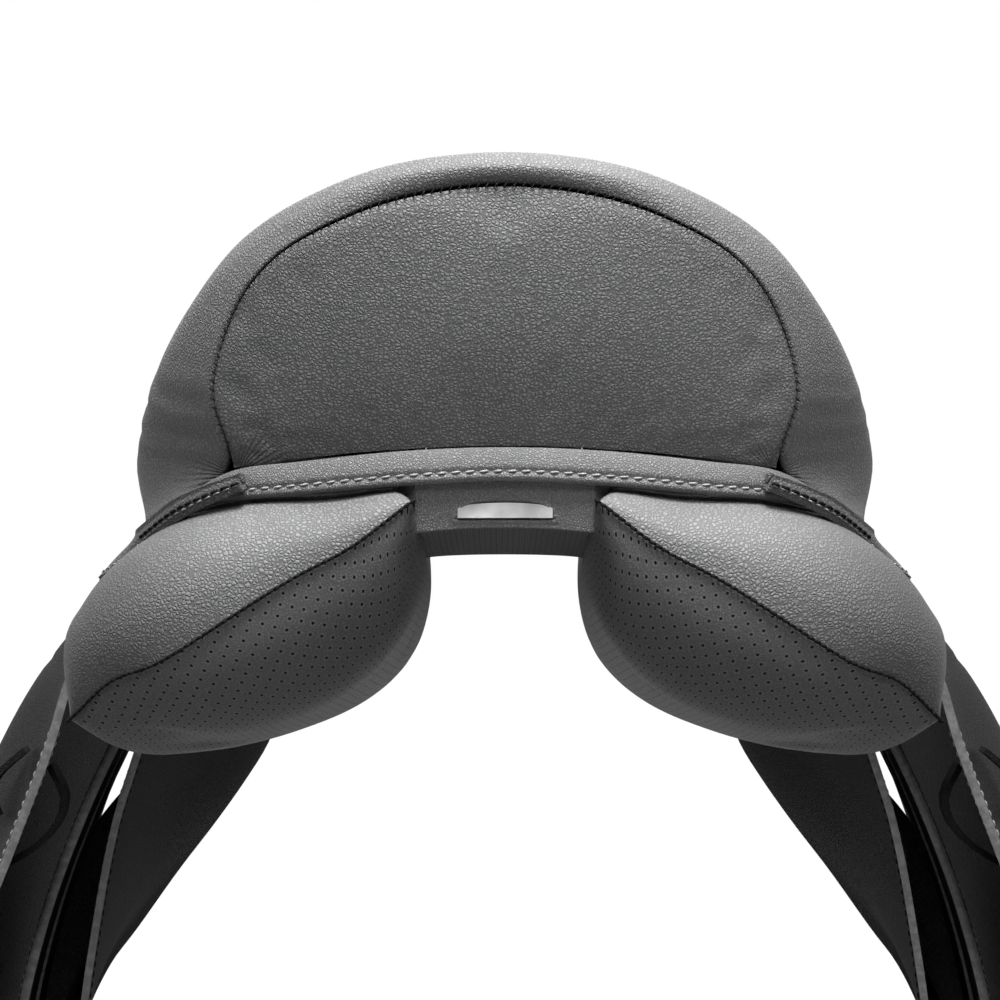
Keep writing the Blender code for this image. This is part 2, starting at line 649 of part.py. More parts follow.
def flap_head(side_name, side):
    share = np.linspace(0, 1, 12)
    down = np.linspace(0, 1, 7)[:, None]
    top_y = HEAD_TOP[0][0] + (HEAD_TOP[-1][0] - HEAD_TOP[0][0]) * share
    top_z = smooth([y for y, _ in HEAD_TOP], [z for _, z in HEAD_TOP], top_y)
    foot_y = HEAD_FOOT_Y[0] + (HEAD_FOOT_Y[1] - HEAD_FOOT_Y[0]) * share
    foot_z = FLAP_FOLD_Z
    y_grid = top_y + (foot_y - top_y) * down
    z_grid = top_z + (foot_z - top_z) * down
    made = outline_sheet("flap_head_" + side_name, side, y_grid, z_grid, FLAP_LEATHER, 0, FLAP_HIDE)
    centre_y = (SLOT_Y[0] + SLOT_Y[1]) / 2
    centre = hull_grid(np.array([[centre_y]]), np.array([[SLOT_Z]]))[0, 0]
    size = (SLOT_DROP, place((0, SLOT_Y[1] - SLOT_Y[0], 0))[1], SLOT_DROP)
    cut(made, box("slot_cutter_" + side_name, size, centre * (side, 1, 1), side * math.radians(40)))


def box(name, size, centre, tilt=0.0):
    """A block turned about Y by tilt."""
    bpy.ops.mesh.primitive_cube_add(size=1.0)
    made = bpy.context.object
    made.name = name
    for holder in list(made.users_collection):
        holder.objects.unlink(made)
    parts.objects.link(made)
    made.data.transform(Matrix.Diagonal((*[edge * MM for edge in size], 1.0)))
    stand = Matrix.Translation(Vector(tuple(np.asarray(centre) * MM)))
    made.matrix_world = stand @ Matrix.Rotation(tilt, 4, "Y")
    return made


# A skirt hangs from the seat's edge over the stirrup bar; its tail runs back under the cantle
SKIRT_TOP = [(22, 31), (58, 43.5), (123, 64), (174, 80), (188, 77)]
SKIRT_FOOT = [(22, -16), (60, -24), (100, -28), (140, -18), (170, 8), (182, 38), (188, 60)]
TAIL_TOP = [(18, 31), (-20, 27.3), (-90, 20), (-155, 10), (-172, 9), (-190, 13), (-205, 17), (-214, 19)]
TAIL_FOOT = [(18, -16), (-40, -16), (-90, -16), (-122, -14), (-150, -9), (-180, 2), (-203, 11), (-214, 15)]


def band_between(top, foot, shares, downs):
    """Y and Z grids between two outlines given as (y, z)."""
    y = top[0][0] + (top[-1][0] - top[0][0]) * shares
    top_z = smooth([p[0] for p in top], [p[1] for p in top], y)
    foot_z = smooth([p[0] for p in foot], [p[1] for p in foot], y)
    z = top_z + (foot_z - top_z) * downs[:, None]
    return y + 0 * z, z


def skirts(side_name, side):
    downs = np.linspace(0, 1, 6)
    lift = SKIRT_LEATHER + SKIRT_GAP
    y, z = band_between(SKIRT_TOP, SKIRT_FOOT, np.linspace(0, 1, 11), downs)
    made = outline_sheet("skirt_" + side_name, side, y, z, SKIRT_LEATHER, lift, FLAP_HIDE)
    set_origin(made, place(np.array(SKIRT_REAR)) * (side, 1, 1))
    y, z = band_between(TAIL_TOP, TAIL_FOOT, np.linspace(0, 1, 12), downs)
    outline_sheet("skirt_tail_" + side_name, side, y, z, SKIRT_LEATHER, lift, FLAP_HIDE)


# The sweat flap hangs from the panel's outer seam, inside the straps and the flap
SWEAT_Y = [-20, 80, 180, 215]
SWEAT_Z = [-50, -66, -80, -95, -114, -136, -159, -191, -207, -240, -280, -330, -410]
SWEAT_X = [
    [147.3, 155.5, 162, 167, 173, 178, 182, 187, 189, 192, 194, 195, 194],
    [132, 137, 142, 149, 158, 167, 177, 190, 197, 206, 213, 217, 217],
    [113, 116, 119, 124, 136, 152, 170, 194, 206, 222, 232, 238, 238],
    [108, 111, 114, 119, 131, 147, 165, 188, 200, 215, 225, 231, 231],
]
SWEAT_EDGES = [(-54, -20, 192), (-120, -24, 206), (-200, -26, 212), (-280, -20, 206), (-340, -4, 188),
               (-380, 24, 162), (-400, 56, 128)]


def sweat_flap(side_name, side):
    share = np.linspace(0, 1, 9)
    top = SWEAT_EDGES[0][0]
    scale = (SWEAT_BOTTOM - top) / (SWEAT_EDGES[-1][0] - top)
    heights = [top + (edge[0] - top) * scale for edge in SWEAT_EDGES]
    z = top + (SWEAT_BOTTOM - top) * np.array([0, .06, .13, .21, .3, .4, .5, .6, .7, .8, .9, .96, 1])
    rear = smooth(heights, [edge[1] for edge in SWEAT_EDGES], z)
    front = smooth(heights, [edge[2] for edge in SWEAT_EDGES], z)
    y = rear[:, None] + (front - rear)[:, None] * share
    z = z[:, None] + 0 * y
    grid = place(np.stack([surface_x(y, z, SWEAT_Y, SWEAT_Z, SWEAT_X), y, z], axis=-1))
    sheet("sweat_flap_" + side_name, grid * (side, 1, 1), SWEAT_LEATHER, (side, 0, 0), FLAP_HIDE)


# The knee block stands on the sweat flap's outer face, near its front edge
BLOCK_Y = (152.0, 200.0)
BLOCK_Z = (-96.0, -300.0)


def knee_block(side_name, side):
    across = np.linspace(0, 1, 7)
    down = np.linspace(0, 1, 11)[:, None]
    y = BLOCK_Y[0] + (BLOCK_Y[1] - BLOCK_Y[0]) * across + 6.0 * np.sin(math.pi * down)
    z = BLOCK_Z[0] + (BLOCK_Z[1] - BLOCK_Z[0]) * down + 0 * across
    base = np.stack([surface_x(y, z, SWEAT_Y, SWEAT_Z, SWEAT_X), y, z], axis=-1)
    base = offset(place(base), BLOCK_GAP, (1, 0, 0))
    bump = (np.sin(math.pi * across) ** 0.6) * (np.sin(math.pi * (0.06 + 0.88 * down)) ** 0.6)
    height = 2.0 + (BLOCK_HEIGHT - 2.0) * bump * (1.0 - 0.35 * down)
    top = base + np.array([1.0, 0.0, 0.25]) * height[:, :, None]
    layers("knee_block_" + side_name, top * (side, 1, 1), base * (side, 1, 1), FOAM)


# Girth straps hang on the webs between the sweat flap and the flap
STRAP_Y = {"rear": 8.0, "front": 56.0}
STRAP_PATH = [(106.2, 8.1), (116.2, -4.4), (130.5, -18.5), (145, -36), (161, -58), (178, -87), (193, -120),
              (207, -158), (218, -200), (225, -245), (228, -290)]
WEB_PATH = [(0, 37.7), (30, 37.7), (56, 36.2), (76, 28), (90, 16.5), (102, 4), (111.5, -7.5)]
WEB_FLAT = 3
WEB_FOLLOW = 0.79


def ribbon(name, path, width, centre_y, thickness, side, look, mirror=False):
    """A strap of the given width along Y that follows a path of (x, z)."""
    path = place(np.array([(x, centre_y, z) for x, z in path]))
    if path[0][0] == 0.0:
        ghost = mirrored(path[1])
    else:
        ghost = 2 * path[0] - path[1]
    count = 2 * len(path) - 1
    run = spread((ghost, path, 2 * path[-1] - path[-2]), np.linspace(0, len(path) - 1, count))
    run[:, 1] = path[0][1]
    half = np.array([0.0, width / 2, 0.0])
    grid = np.stack([run - half, run + half], axis=1)
    grid = grid * (side, 1, 1)
    made = sheet(name, grid, thickness, (side, 0, 0.3), look, mirror)
    return made


def girth_straps(side_name, side):
    for where, y in STRAP_Y.items():
        path = STRAP_PATH + [(STRAP_PATH[-1][0], STRAP_END * 0.6 + STRAP_PATH[-1][1] * 0.4),
                             (STRAP_PATH[-1][0], STRAP_END)]
        name = "girth_strap_" + where + "_" + side_name
        made = ribbon(name, path, STRAP_WIDTH, y, STRAP_LEATHER, side, STRAP_HIDE)
        x, centre_y, _ = place((STRAP_PATH[-1][0], y, 0))
        for k in range(STRAP_HOLES):
            z = STRAP_END + STRAP_HOLE_PITCH * (k + 1.2)
            hole = cylinder("hole_cutter_%s_%d" % (name, k), STRAP_HOLE / 2, 24.0,
                            (side * (x - 14.0), centre_y, z), (side, 0, 0), STRAP_HIDE, 8)
            cut(made, hole)
        set_origin(made, place((STRAP_PATH[0][0], y, STRAP_PATH[0][1])) * (side, 1, 1))


def girth_web(where, y):
    """The web lies under the tree, so its middle rises with the seat."""
    rise = smooth(SEAT_PROFILE_Y, SEAT_PROFILE_Z, y) - smooth(SEAT_PROFILE_Y, SEAT_PROFILE_Z, 0.0)
    rise *= WEB_FOLLOW
    path = [(x, z + rise) for x, z in WEB_PATH[:WEB_FLAT]] + WEB_PATH[WEB_FLAT:]
    ribbon("girth_web_" + where, path, STRAP_WIDTH, y, WEB, 1.0, WEBBING, mirror=True)


# The channel lining is an arch between the panels: Y, half width, ceiling, height of its edges
LINING_ROWS = [(-227.6, 34.3, 13.0, 11.0), (-180, 34.5, 9.0, 7.0), (-100, 34.6, 3.4, 1.4),
               (-40, 34.8, 0.4, -1.6), (0, 35.0, 0.0, -2.0), (50, 36.0, 6.0, 1.0),
               (100, 37.8, 22.0, 9.0), (150, 39.6, 46.0, 17.0), (190, 41.0, 68.0, 24.0),
               (209, 41.6, 77.0, 27.0)]


def arch_grid(y, wider=0.0):
    """The lower face of the lining at each y, from the centre line to its edge."""
    rows = np.array(LINING_ROWS, dtype=float)
    half, crown, edge = smooth(rows[:, 0], rows[:, 1:], y).T
    turn = np.linspace(0, math.pi / 2, 7)
    x = (half + wider)[:, None] * np.sin(turn)
    z = edge[:, None] + (crown + wider - edge)[:, None] * np.cos(turn)
    return place(np.stack([x, np.asarray(y)[:, None] + 0 * x, z], axis=-1))


def channel_lining():
    lower = arch_grid(np.linspace(LINING_ROWS[0][0], LINING_ROWS[-1][0], 14))
    upper = on_plane(lower + np.array([0.0, 0.0, LINING]), lower)
    layers("channel_lining", upper, lower, PANEL_HIDE, mirror=True)


POMMEL_Y = 209.6
POMMEL_RIM = [(0, 106.5), (18, 105), (34, 100), (46, 92), (55, 78), (60, 56), (61, 27)]


def pommel_facing():
    inner = arch_grid(np.array([LINING_ROWS[-1][0]]), wider=LINING + 0.6)[0]
    rim = place(np.array([(x, 0.0, z) for x, z in POMMEL_RIM]))
    level = place((0, POMMEL_Y, 0))[1]
    inner[:, 1] = level
    rim[:, 1] = level
    grid = between(rim, inner, [0, 0.5, 1])
    front = on_plane(grid + np.array([0.0, FACING, 0.0]), grid)
    layers("pommel_facing", front, grid, FLAP_HIDE, mirror=True)


# The gullet plate is a steel arch inside the points of the tree
PLATE_Y = (150.0, 172.0)
PLATE_PATH = [(0, 80), (24, 78), (43, 70.5), (55.5, 60), (63.4, 46), (71.0, 26), (77.0, 10)]


def gullet_plate():
    path = place(np.array([(x, 0.0, z) for x, z in PLATE_PATH]))
    run = spread((mirrored(path[1]), path, 2 * path[-1] - path[-2]), np.linspace(0, len(path) - 1, 13))
    run[0, 0] = 0.0
    first, last = place((0, PLATE_Y[0], 0))[1], place((0, PLATE_Y[1], 0))[1]
    grid = np.stack([run + (0, first, 0), run + (0, last, 0)], axis=1)
    return sheet("gullet_plate", grid, PLATE, (0, 0, 1), STEEL, mirror=True)


SCREW_AT = (68.0, 163.0, 34.0)
SCREW_HEAD = 5.0


def turned(name, profile, start, direction, look, steps=14):
    """A solid of revolution from (radius, height) points, stood at start along direction."""
    mesh = bpy.data.meshes.new(name)
    points = [(radius * MM, 0.0, height * MM) for radius, height in profile]
    mesh.from_pydata(points, [(k, k + 1) for k in range(len(points) - 1)], [])
    made = bpy.data.objects.new(name, mesh)
    parts.objects.link(made)
    mesh.materials.append(look)
    screw = made.modifiers.new("turn", "SCREW")
    screw.steps = steps
    screw.render_steps = steps
    screw.use_merge_vertices = True
    screw.merge_threshold = 0.00005
    turn = Vector((0, 0, 1)).rotation_difference(Vector(tuple(direction)))
    foot = Matrix.Translation(Vector(tuple(np.asarray(start) * MM)))
    made.matrix_world = foot @ turn.to_matrix().to_4x4()
    return made


def gullet_screw(side_name, side, bored):
    at = place(np.array(SCREW_AT)) * (side, 1, 1)
    direction = POINT_NORMAL * (side, 1, 1)
    reach = PLATE + TREE_WALL + 4.0
    profile = [(0, reach), (SCREW / 2, reach), (SCREW / 2, 0), (SCREW_HEAD, 0), (SCREW_HEAD, -3.5),
               (0, -3.5)]
    inner = at - direction * (PLATE + GAP)
    turned("gullet_screw_" + side_name, profile, inner, direction, STEEL)
    for number, piece in enumerate(bored):
        drill = cylinder("screw_drill_%s_%d" % (side_name, number), SCREW / 2 + GAP, 40.0,
                         at - direction * 20, direction, STEEL, 14)
        cut(piece, drill)


# A stirrup bar is a flat hook on the outer face of the tree point, open to the rear. Its own
# frame has x out from the point, y forward and z up the slope.
BAR_AT = (90.0, 117.0, 14.0)
BAR_RIVETS = (-13.0, 32.0)


def bar_matrix(side):
    """From the bar's own frame to the saddle, for one side."""
    out = Vector(tuple(POINT_NORMAL * (side, 1, 1)))
    forward = Vector((0.0, 1.0, 0.0))
    up = out.cross(forward) * side
    turn = Matrix((out, forward * 1.0, up)).transposed().to_4x4()
    at = place(np.array(BAR_AT)) * (side, 1, 1)
    return Matrix.Translation(Vector(tuple(at * MM))) @ turn


def prism(name, outline, depth, plane, look):
    """A flat outline with a thickness of depth, centred on its plane, which is 'xy' or 'xz'."""
    curve = bpy.data.curves.new(name, "CURVE")
    curve.dimensions = "2D"
    curve.fill_mode = "BOTH"
    curve.extrude = depth / 2 * MM
    line = curve.splines.new("POLY")
    line.points.add(len(outline) - 1)
    for point, (a, b) in zip(line.points, outline):
        point.co = (a * MM, b * MM, 0.0, 1.0)
    line.use_cyclic_u = True
    holder = bpy.data.objects.new(name + "_outline", curve)
    bpy.context.scene.collection.objects.link(holder)
    if plane == "xz":
        holder.rotation_euler = (math.radians(90), 0.0, 0.0)
    bpy.context.view_layer.update()
    mesh = bpy.data.meshes.new_from_object(holder.evaluated_get(bpy.context.evaluated_depsgraph_get()))
    mesh.transform(holder.matrix_world)
    bpy.data.objects.remove(holder, do_unlink=True)
    welded = bmesh.new()
    welded.from_mesh(mesh)
    bmesh.ops.remove_doubles(welded, verts=welded.verts, dist=0.00001)
    bmesh.ops.recalc_face_normals(welded, faces=welded.faces)
    welded.to_mesh(mesh)
    welded.free()
    mesh.name = name
    mesh.materials.clear()
    mesh.materials.append(look)
    made = bpy.data.objects.new(name, mesh)
    parts.objects.link(made)
    return made


def stirrup_bar(side_name, side, point_of_tree):
    finger = BAR_PLATE + BAR_THROAT
    tip = finger + BAR_FINGER
    rear, front = -BAR_LENGTH / 2, BAR_LENGTH / 2
    shank = front - BAR_FINGER - 1.0
    outline = [(0, rear), (0, front), (tip - 3, front), (tip, front - 4), (tip, front - BAR_REACH),
               (finger, front - BAR_REACH), (finger, shank), (BAR_PLATE, shank), (BAR_PLATE, rear)]
    bar = prism("stirrup_bar_" + side_name, outline, BAR_HEIGHT, "xy", STEEL)
    matrix = bar_matrix(side)
    bar.matrix_world = matrix
    for number, y in enumerate(BAR_RIVETS):
        name = "bar_rivet_%s_%s" % (("rear", "front")[number], side_name)
        axis = matrix.to_3x3() @ Vector((1, 0, 0))
        centre = np.array(matrix @ Vector((0.0, y * MM, 0.0))) / MM
        axis_list = np.array(axis) / np.linalg.norm(axis)
        foot = -(TREE_WALL + RIVET_SINK)
        top = BAR_PLATE - 0.3
        profile = [(0, top), (RIVET / 2, top), (RIVET / 2, foot), (RIVET_HEAD / 2, foot),
                   (RIVET_HEAD / 2 - 1, foot - 2), (0, foot - 2)]
        turned(name, profile, centre, axis_list, STEEL)
        for label, piece in (("tree", point_of_tree), ("bar", bar)):
            drill = cylinder("rivet_drill_%s_%s" % (name, label), RIVET / 2 + GAP,
                             34.0 if label == "tree" else BAR_PLATE + 4.0,
                             centre - axis_list * (30.0 if label == "tree" else 2.0), axis_list, STEEL, 12)
            cut(piece, drill)


RIVET_SINK = 5.4
CATCH_WIDTH = 6.6
CATCH_ARM = 2.4
CATCH_REACH = 15.6
CATCH_LUG = 6.8
CATCH_PIVOT_Y = 4.0


def bar_catch(side_name, side):
    """An L that hangs open below the bar's rear end and turns back and up to close it."""
    base = BAR_PLATE + GAP
    tip = BAR_PLATE + BAR_THROAT + BAR_FINGER
    outline = [(base, 4.0), (base, -CATCH_REACH), (tip, -CATCH_REACH), (tip, -CATCH_REACH + CATCH_LUG),
               (base + CATCH_ARM, -CATCH_REACH + CATCH_LUG), (base + CATCH_ARM, 4.0)]
    made = prism("bar_catch_" + side_name, outline, CATCH_WIDTH, "xz", STEEL)
    pivot_y = BAR_LENGTH / 2 - BAR_REACH + CATCH_PIVOT_Y
    made.matrix_world = bar_matrix(side) @ Matrix.Translation(Vector((0.0, pivot_y * MM, 0.0)))


# Leather keeper loops near the rear edge of each flap, one outside and one inside
KEEPER_Y = -48.0
OUTER_KEEPER = [(-84, 0.5), (-89, 4.5), (-96, 8.6), (-103, 8.6), (-110, 4.5), (-115, 0.5)]
INNER_KEEPER = [(-92, -0.5), (-98, -6), (-106, -12.5), (-116, -14), (-126, -9), (-133, -0.5)]


def keepers(side_name, side):
    for where, path, base in (("outer", OUTER_KEEPER, 0.0), ("inner", INNER_KEEPER, -FLAP_LEATHER)):
        heights = np.array([z for z, _ in path], dtype=float)
        outward = 1 if where == "outer" else -1
        ends = [surface_x(KEEPER_Y + shift * KEEPER_WIDTH / 2, heights, HULL_Y, HULL_Z, HULL_X) * outward
                for shift in (-1, 0, 1)]
        x = np.max(ends, axis=0) * outward + base + np.array([d for _, d in path])
        points = [(a + (KEEPER_LEATHER if outward > 0 else 0.0), z) for a, z in zip(x, heights)]
        name = "keeper_%s_%s" % (where, side_name)
        ribbon(name, points, KEEPER_WIDTH, KEEPER_Y, KEEPER_LEATHER, side, STRAP_HIDE)


# Dee rings hang from leather tabs on the front of the pommel facing
DEE_AT = (50.5, 218.4, 70.0)
TAB_THICK = 7.6
TAB_SIZE = (13.0, 12.0)


def dee(side_name, side):
    at = place(np.array(DEE_AT)) * (side, 1, 1)
    at[1] = place((0, POMMEL_Y, 0))[1] + FACING + GAP + TAB_THICK / 2
    tab = box("dee_tab_" + side_name, (TAB_SIZE[0], TAB_THICK, TAB_SIZE[1]), at)
    tab.data.materials.append(STRAP_HIDE)
    bore = cylinder("tab_bore_" + side_name, DEE_WIRE / 2 + GAP, 40.0, at - np.array([20.0, 0, 0]),
                    (1, 0, 0), STRAP_HIDE, 16)
    cut(tab, bore)
    half, drop = DEE_WIDTH / 2, DEE_DROP
    curve = bpy.data.curves.new("dee_ring_" + side_name, "CURVE")
    curve.dimensions = "3D"
    curve.bevel_depth = DEE_WIRE / 2 * MM
    curve.bevel_resolution = 2
    curve.resolution_u = 1
    line = curve.splines.new("POLY")
    steps = 9
    turns = [math.pi * k / (steps - 1) for k in range(steps)]
    arc = [(-half * math.cos(turn), -(drop - half) - half * math.sin(turn)) for turn in turns]
    points = [(half - 1.2, 0.0), (-half + 1.2, 0.0), (-half, -1.6)] + arc + [(half, -1.6)]
    line.points.add(len(points) - 1)
    for point, (x, z) in zip(line.points, points):
        point.co = (x * MM, 0.0, z * MM, 1.0)
    line.use_cyclic_u = True
    ring = bpy.data.objects.new("dee_ring_" + side_name, curve)
    parts.objects.link(ring)
    curve.materials.append(STEEL)
    ring.location = Vector(tuple(at * MM))


STUD_AT = (204.0, 22.0)
STUD_HEIGHT = 3.4


def flap_stud(side_name, side):
    """A domed nail head at the front of each flap head."""
    y, z = np.meshgrid([STUD_AT[0], STUD_AT[0] + 4.0], [STUD_AT[1], STUD_AT[1] - 4.0], indexing="ij")
    spot = hull_grid(y, z)
    normal = grid_normals(spot)[0, 0]
    normal = normal if normal[0] > 0 else -normal
    at = spot[0, 0] + normal * 1.0
    r = STUD / 2
    profile = [(0, STUD_HEIGHT), (r * 0.5, STUD_HEIGHT * 0.9), (r * 0.85, STUD_HEIGHT * 0.55), (r, 0.8),
               (r, 0), (0, 0)]
    turned("flap_stud_" + side_name, profile, at * (side, 1, 1), normal * (side, 1, 1), STEEL)


seat_cover()
seat_foam()
tree_piece = tree()
cantle_back()
cantle_band()
rear_facing()
badge()
channel_lining()
pommel_facing()
plate_piece = gullet_plate()
for where, y in STRAP_Y.items():
    girth_web(where, y)
for side_name, side in SIDES:
    gullet_screw(side_name, side, (tree_piece, plate_piece))
    stirrup_bar(side_name, side, tree_piece)
    bar_catch(side_name, side)
    panels(side_name, side)
    sweat_flap(side_name, side)
    knee_block(side_name, side)
    girth_straps(side_name, side)
    flap_head(side_name, side)
    flap(side_name, side)
    skirts(side_name, side)
    keepers(side_name, side)
    dee(side_name, side)
    flap_stud(side_name, side)
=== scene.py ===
"""A black dressage saddle, seen from behind at the height of its cantle.

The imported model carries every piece. Leather that shows is laid over it here, in millimetres as
the pieces were cut, and turned to metres when its mesh is made.
"""
import math

import bpy
import bmesh
import numpy as np
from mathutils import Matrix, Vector


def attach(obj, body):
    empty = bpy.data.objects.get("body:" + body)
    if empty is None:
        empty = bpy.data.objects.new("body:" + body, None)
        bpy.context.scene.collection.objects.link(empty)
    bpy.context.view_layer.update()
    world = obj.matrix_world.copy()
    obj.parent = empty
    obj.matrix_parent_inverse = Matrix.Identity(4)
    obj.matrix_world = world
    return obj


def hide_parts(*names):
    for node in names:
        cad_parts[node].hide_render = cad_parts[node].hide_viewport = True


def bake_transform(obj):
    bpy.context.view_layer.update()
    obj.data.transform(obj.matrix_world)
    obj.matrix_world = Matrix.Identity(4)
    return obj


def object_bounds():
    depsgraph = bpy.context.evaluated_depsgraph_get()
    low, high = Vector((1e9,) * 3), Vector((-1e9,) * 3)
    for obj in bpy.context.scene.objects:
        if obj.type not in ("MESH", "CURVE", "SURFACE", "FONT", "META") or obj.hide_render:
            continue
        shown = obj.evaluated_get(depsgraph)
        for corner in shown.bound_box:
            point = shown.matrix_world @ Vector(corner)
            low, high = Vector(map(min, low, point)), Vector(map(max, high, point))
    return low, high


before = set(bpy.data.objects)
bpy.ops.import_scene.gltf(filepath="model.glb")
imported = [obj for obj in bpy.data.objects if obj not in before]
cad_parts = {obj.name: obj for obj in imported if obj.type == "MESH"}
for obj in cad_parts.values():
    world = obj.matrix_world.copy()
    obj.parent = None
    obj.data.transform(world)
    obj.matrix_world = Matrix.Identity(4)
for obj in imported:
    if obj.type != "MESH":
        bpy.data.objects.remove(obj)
cad_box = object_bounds()
scene = bpy.context.scene
scene.view_settings.view_transform = "Standard"


# Camera, light and ground. The saddle is looked at from behind, level with the foot of the
# cantle, on white paper. The lamps overhead and above the camera are strong, the others weak.

CAMERA_AT = (-0.002, -1.75, 0.024)
LENS_MM = 140.0
SENSOR_MM = 36.0
FLOOR_HALF = 6.0
FLOOR_Z = cad_box[0][2] - 0.0005
PAPER_SEEN = 0.82
PAPER_BOUNCED = 0.25
GLOW_FROM, GLOW_FULL = 0.6, 1.5
SOFT_LIGHT = 0.03
LAMPS = (("top_lamp", (0.02, -0.48, 0.92), (0.0, -0.2, 0.05), (0.3, 0.5), 31.0),
         ("camera_lamp", (0.12, -1.8, 1.5), (0.0, -0.25, 0.05), (0.5, 0.5), 19.0),
         ("left_lamp", (-1.5, -0.1, 0.7), (0.0, 0.0, -0.1), (0.5, 1.0), 2.0),
         ("right_lamp", (1.5, -0.1, 0.7), (0.0, 0.0, -0.1), (0.5, 1.0), 2.3),
         ("front_lamp", (0.0, 1.8, 0.9), (0.0, 0.1, 0.0), (1.2, 0.8), 9.0))


def put(name, data):
    """A new object in the scene that holds a camera, a lamp or a mesh."""
    made = bpy.data.objects.new(name, data)
    scene.collection.objects.link(made)
    return made


def grey(value):
    """A plain grey, with full alpha."""
    return value, value, value, 1.0


class Shade:
    """A value or colour inside a material. Plain arithmetic on it adds the nodes that do it."""

    def __init__(self, tree, socket=None):
        self.tree = tree
        self.socket = socket

    def node(self, kind, values, output=0, **settings):
        """Any node: its settings are made first, then its sockets are filled or linked."""
        made = self.tree.nodes.new("ShaderNode" + kind)
        for key, value in settings.items():
            setattr(made, key, value)
        for key, value in values.items():
            if isinstance(value, Shade):
                self.tree.links.new(value.socket, made.inputs[key])
            else:
                made.inputs[key].default_value = value
        return Shade(self.tree, made.outputs[output] if len(made.outputs) else None)

    def also(self, output):
        """Another output of the node that this value comes from."""
        return Shade(self.tree, self.socket.node.outputs[output])

    def spot(self):
        """The place on the object, in metres."""
        return self.node("TexCoord", {}, "Object")

    def along(self, axis):
        """The X, Y or Z of this place."""
        return self.node("SeparateXYZ", {0: self}, axis)

    def maths(self, operation, *others):
        return self.node("Math", dict(enumerate((self, *others))), operation=operation)

    def __add__(self, other):
        return self.maths("ADD", other)

    def __sub__(self, other):
        return self.maths("SUBTRACT", other)

    def __rsub__(self, other):
        return self * -1.0 + other

    def __mul__(self, other):
        return self.maths("MULTIPLY", other)

    def __truediv__(self, other):
        return self.maths("DIVIDE", other)

    def __pow__(self, other):
        return self.maths("POWER", other)

    def __mod__(self, other):
        return self.maths("FLOORED_MODULO", other)

    def ramp(self, low, high):
        """0 below low, 1 above high, smooth between."""
        values = {"Value": self, "From Min": low, "From Max": high, "To Min": 0.0, "To Max": 1.0}
        return self.node("MapRange", values, interpolation_type="SMOOTHSTEP")

    def between(self, first, second):
        """A colour that goes from first to second as this value goes from 0 to 1."""
        return self.node("Mix", {0: self, 6: first, 7: second}, 2, data_type="RGBA")


def new_look(name):
    """An empty material and the Shade that builds in it."""
    look = bpy.data.materials.new(name)
    look.use_nodes = True
    look.node_tree.nodes.clear()
    return look, Shade(look.node_tree)


camera = put("camera", bpy.data.cameras.new("camera"))
camera.location = CAMERA_AT
camera.rotation_euler = (math.radians(90), 0.0, 0.0)
camera.data.lens = LENS_MM
camera.data.sensor_width = SENSOR_MM
scene.camera = camera

floor_mesh = bpy.data.meshes.new("floor")
corners = [(FLOOR_HALF * x, FLOOR_HALF * y, FLOOR_Z) for x, y in ((-1, -1), (1, -1), (1, 1), (-1, 1))]
floor_mesh.from_pydata(corners, [], [(0, 1, 2, 3)])
floor = put("floor", floor_mesh)
floor_look, ink = new_look("floor_paper")
ray = ink.node("LightPath", {}, "Is Camera Ray")
seen = ray.maths("MAXIMUM", ray.also("Is Glossy Ray"))
away = ink.node("VectorMath", {0: ink.spot()}, "Value", operation="LENGTH")
shown = ink.node("BsdfDiffuse", {"Color": grey(PAPER_SEEN)})
bounced = ink.node("BsdfDiffuse", {"Color": grey(PAPER_BOUNCED)})
paper = ink.node("MixShader", {0: seen, 1: bounced, 2: shown})
glow = ink.node("Emission", {"Color": grey(1.0), "Strength": 1.0})
whole = ink.node("MixShader", {0: seen * away.ramp(GLOW_FROM, GLOW_FULL), 1: paper, 2: glow})
ink.node("OutputMaterial", {"Surface": whole})
floor_mesh.materials.append(floor_look)

world = bpy.data.worlds.new("studio")
scene.world = world
world.use_nodes = True
world.node_tree.nodes.clear()
air = Shade(world.node_tree)
ray = air.node("LightPath", {}, "Is Camera Ray")
seen = ray.maths("MAXIMUM", ray.also("Is Transmission Ray"))
seen = seen.maths("MAXIMUM", ray.also("Is Glossy Ray"))
soft = air.node("Background", {"Color": grey(1.0), "Strength": SOFT_LIGHT})
white = air.node("Background", {"Color": grey(1.0), "Strength": 1.0})
air.node("OutputWorld", {"Surface": air.node("MixShader", {0: seen, 1: soft, 2: white})})

for name, at, towards, size, power in LAMPS:
    lamp = bpy.data.lights.new(name, "AREA")
    lamp.shape = "RECTANGLE"
    lamp.size, lamp.size_y = size
    lamp.energy = power
    holder = put(name, lamp)
    holder.location = at
    holder.rotation_euler = (Vector(towards) - Vector(at)).to_track_quat("-Z", "Y").to_euler()


# Seat. Blocked leather is drawn over the foam and rolled over the cantle, and the roll is sewn
# to the back panel. The foam under it never shows, so the leather stands for both.

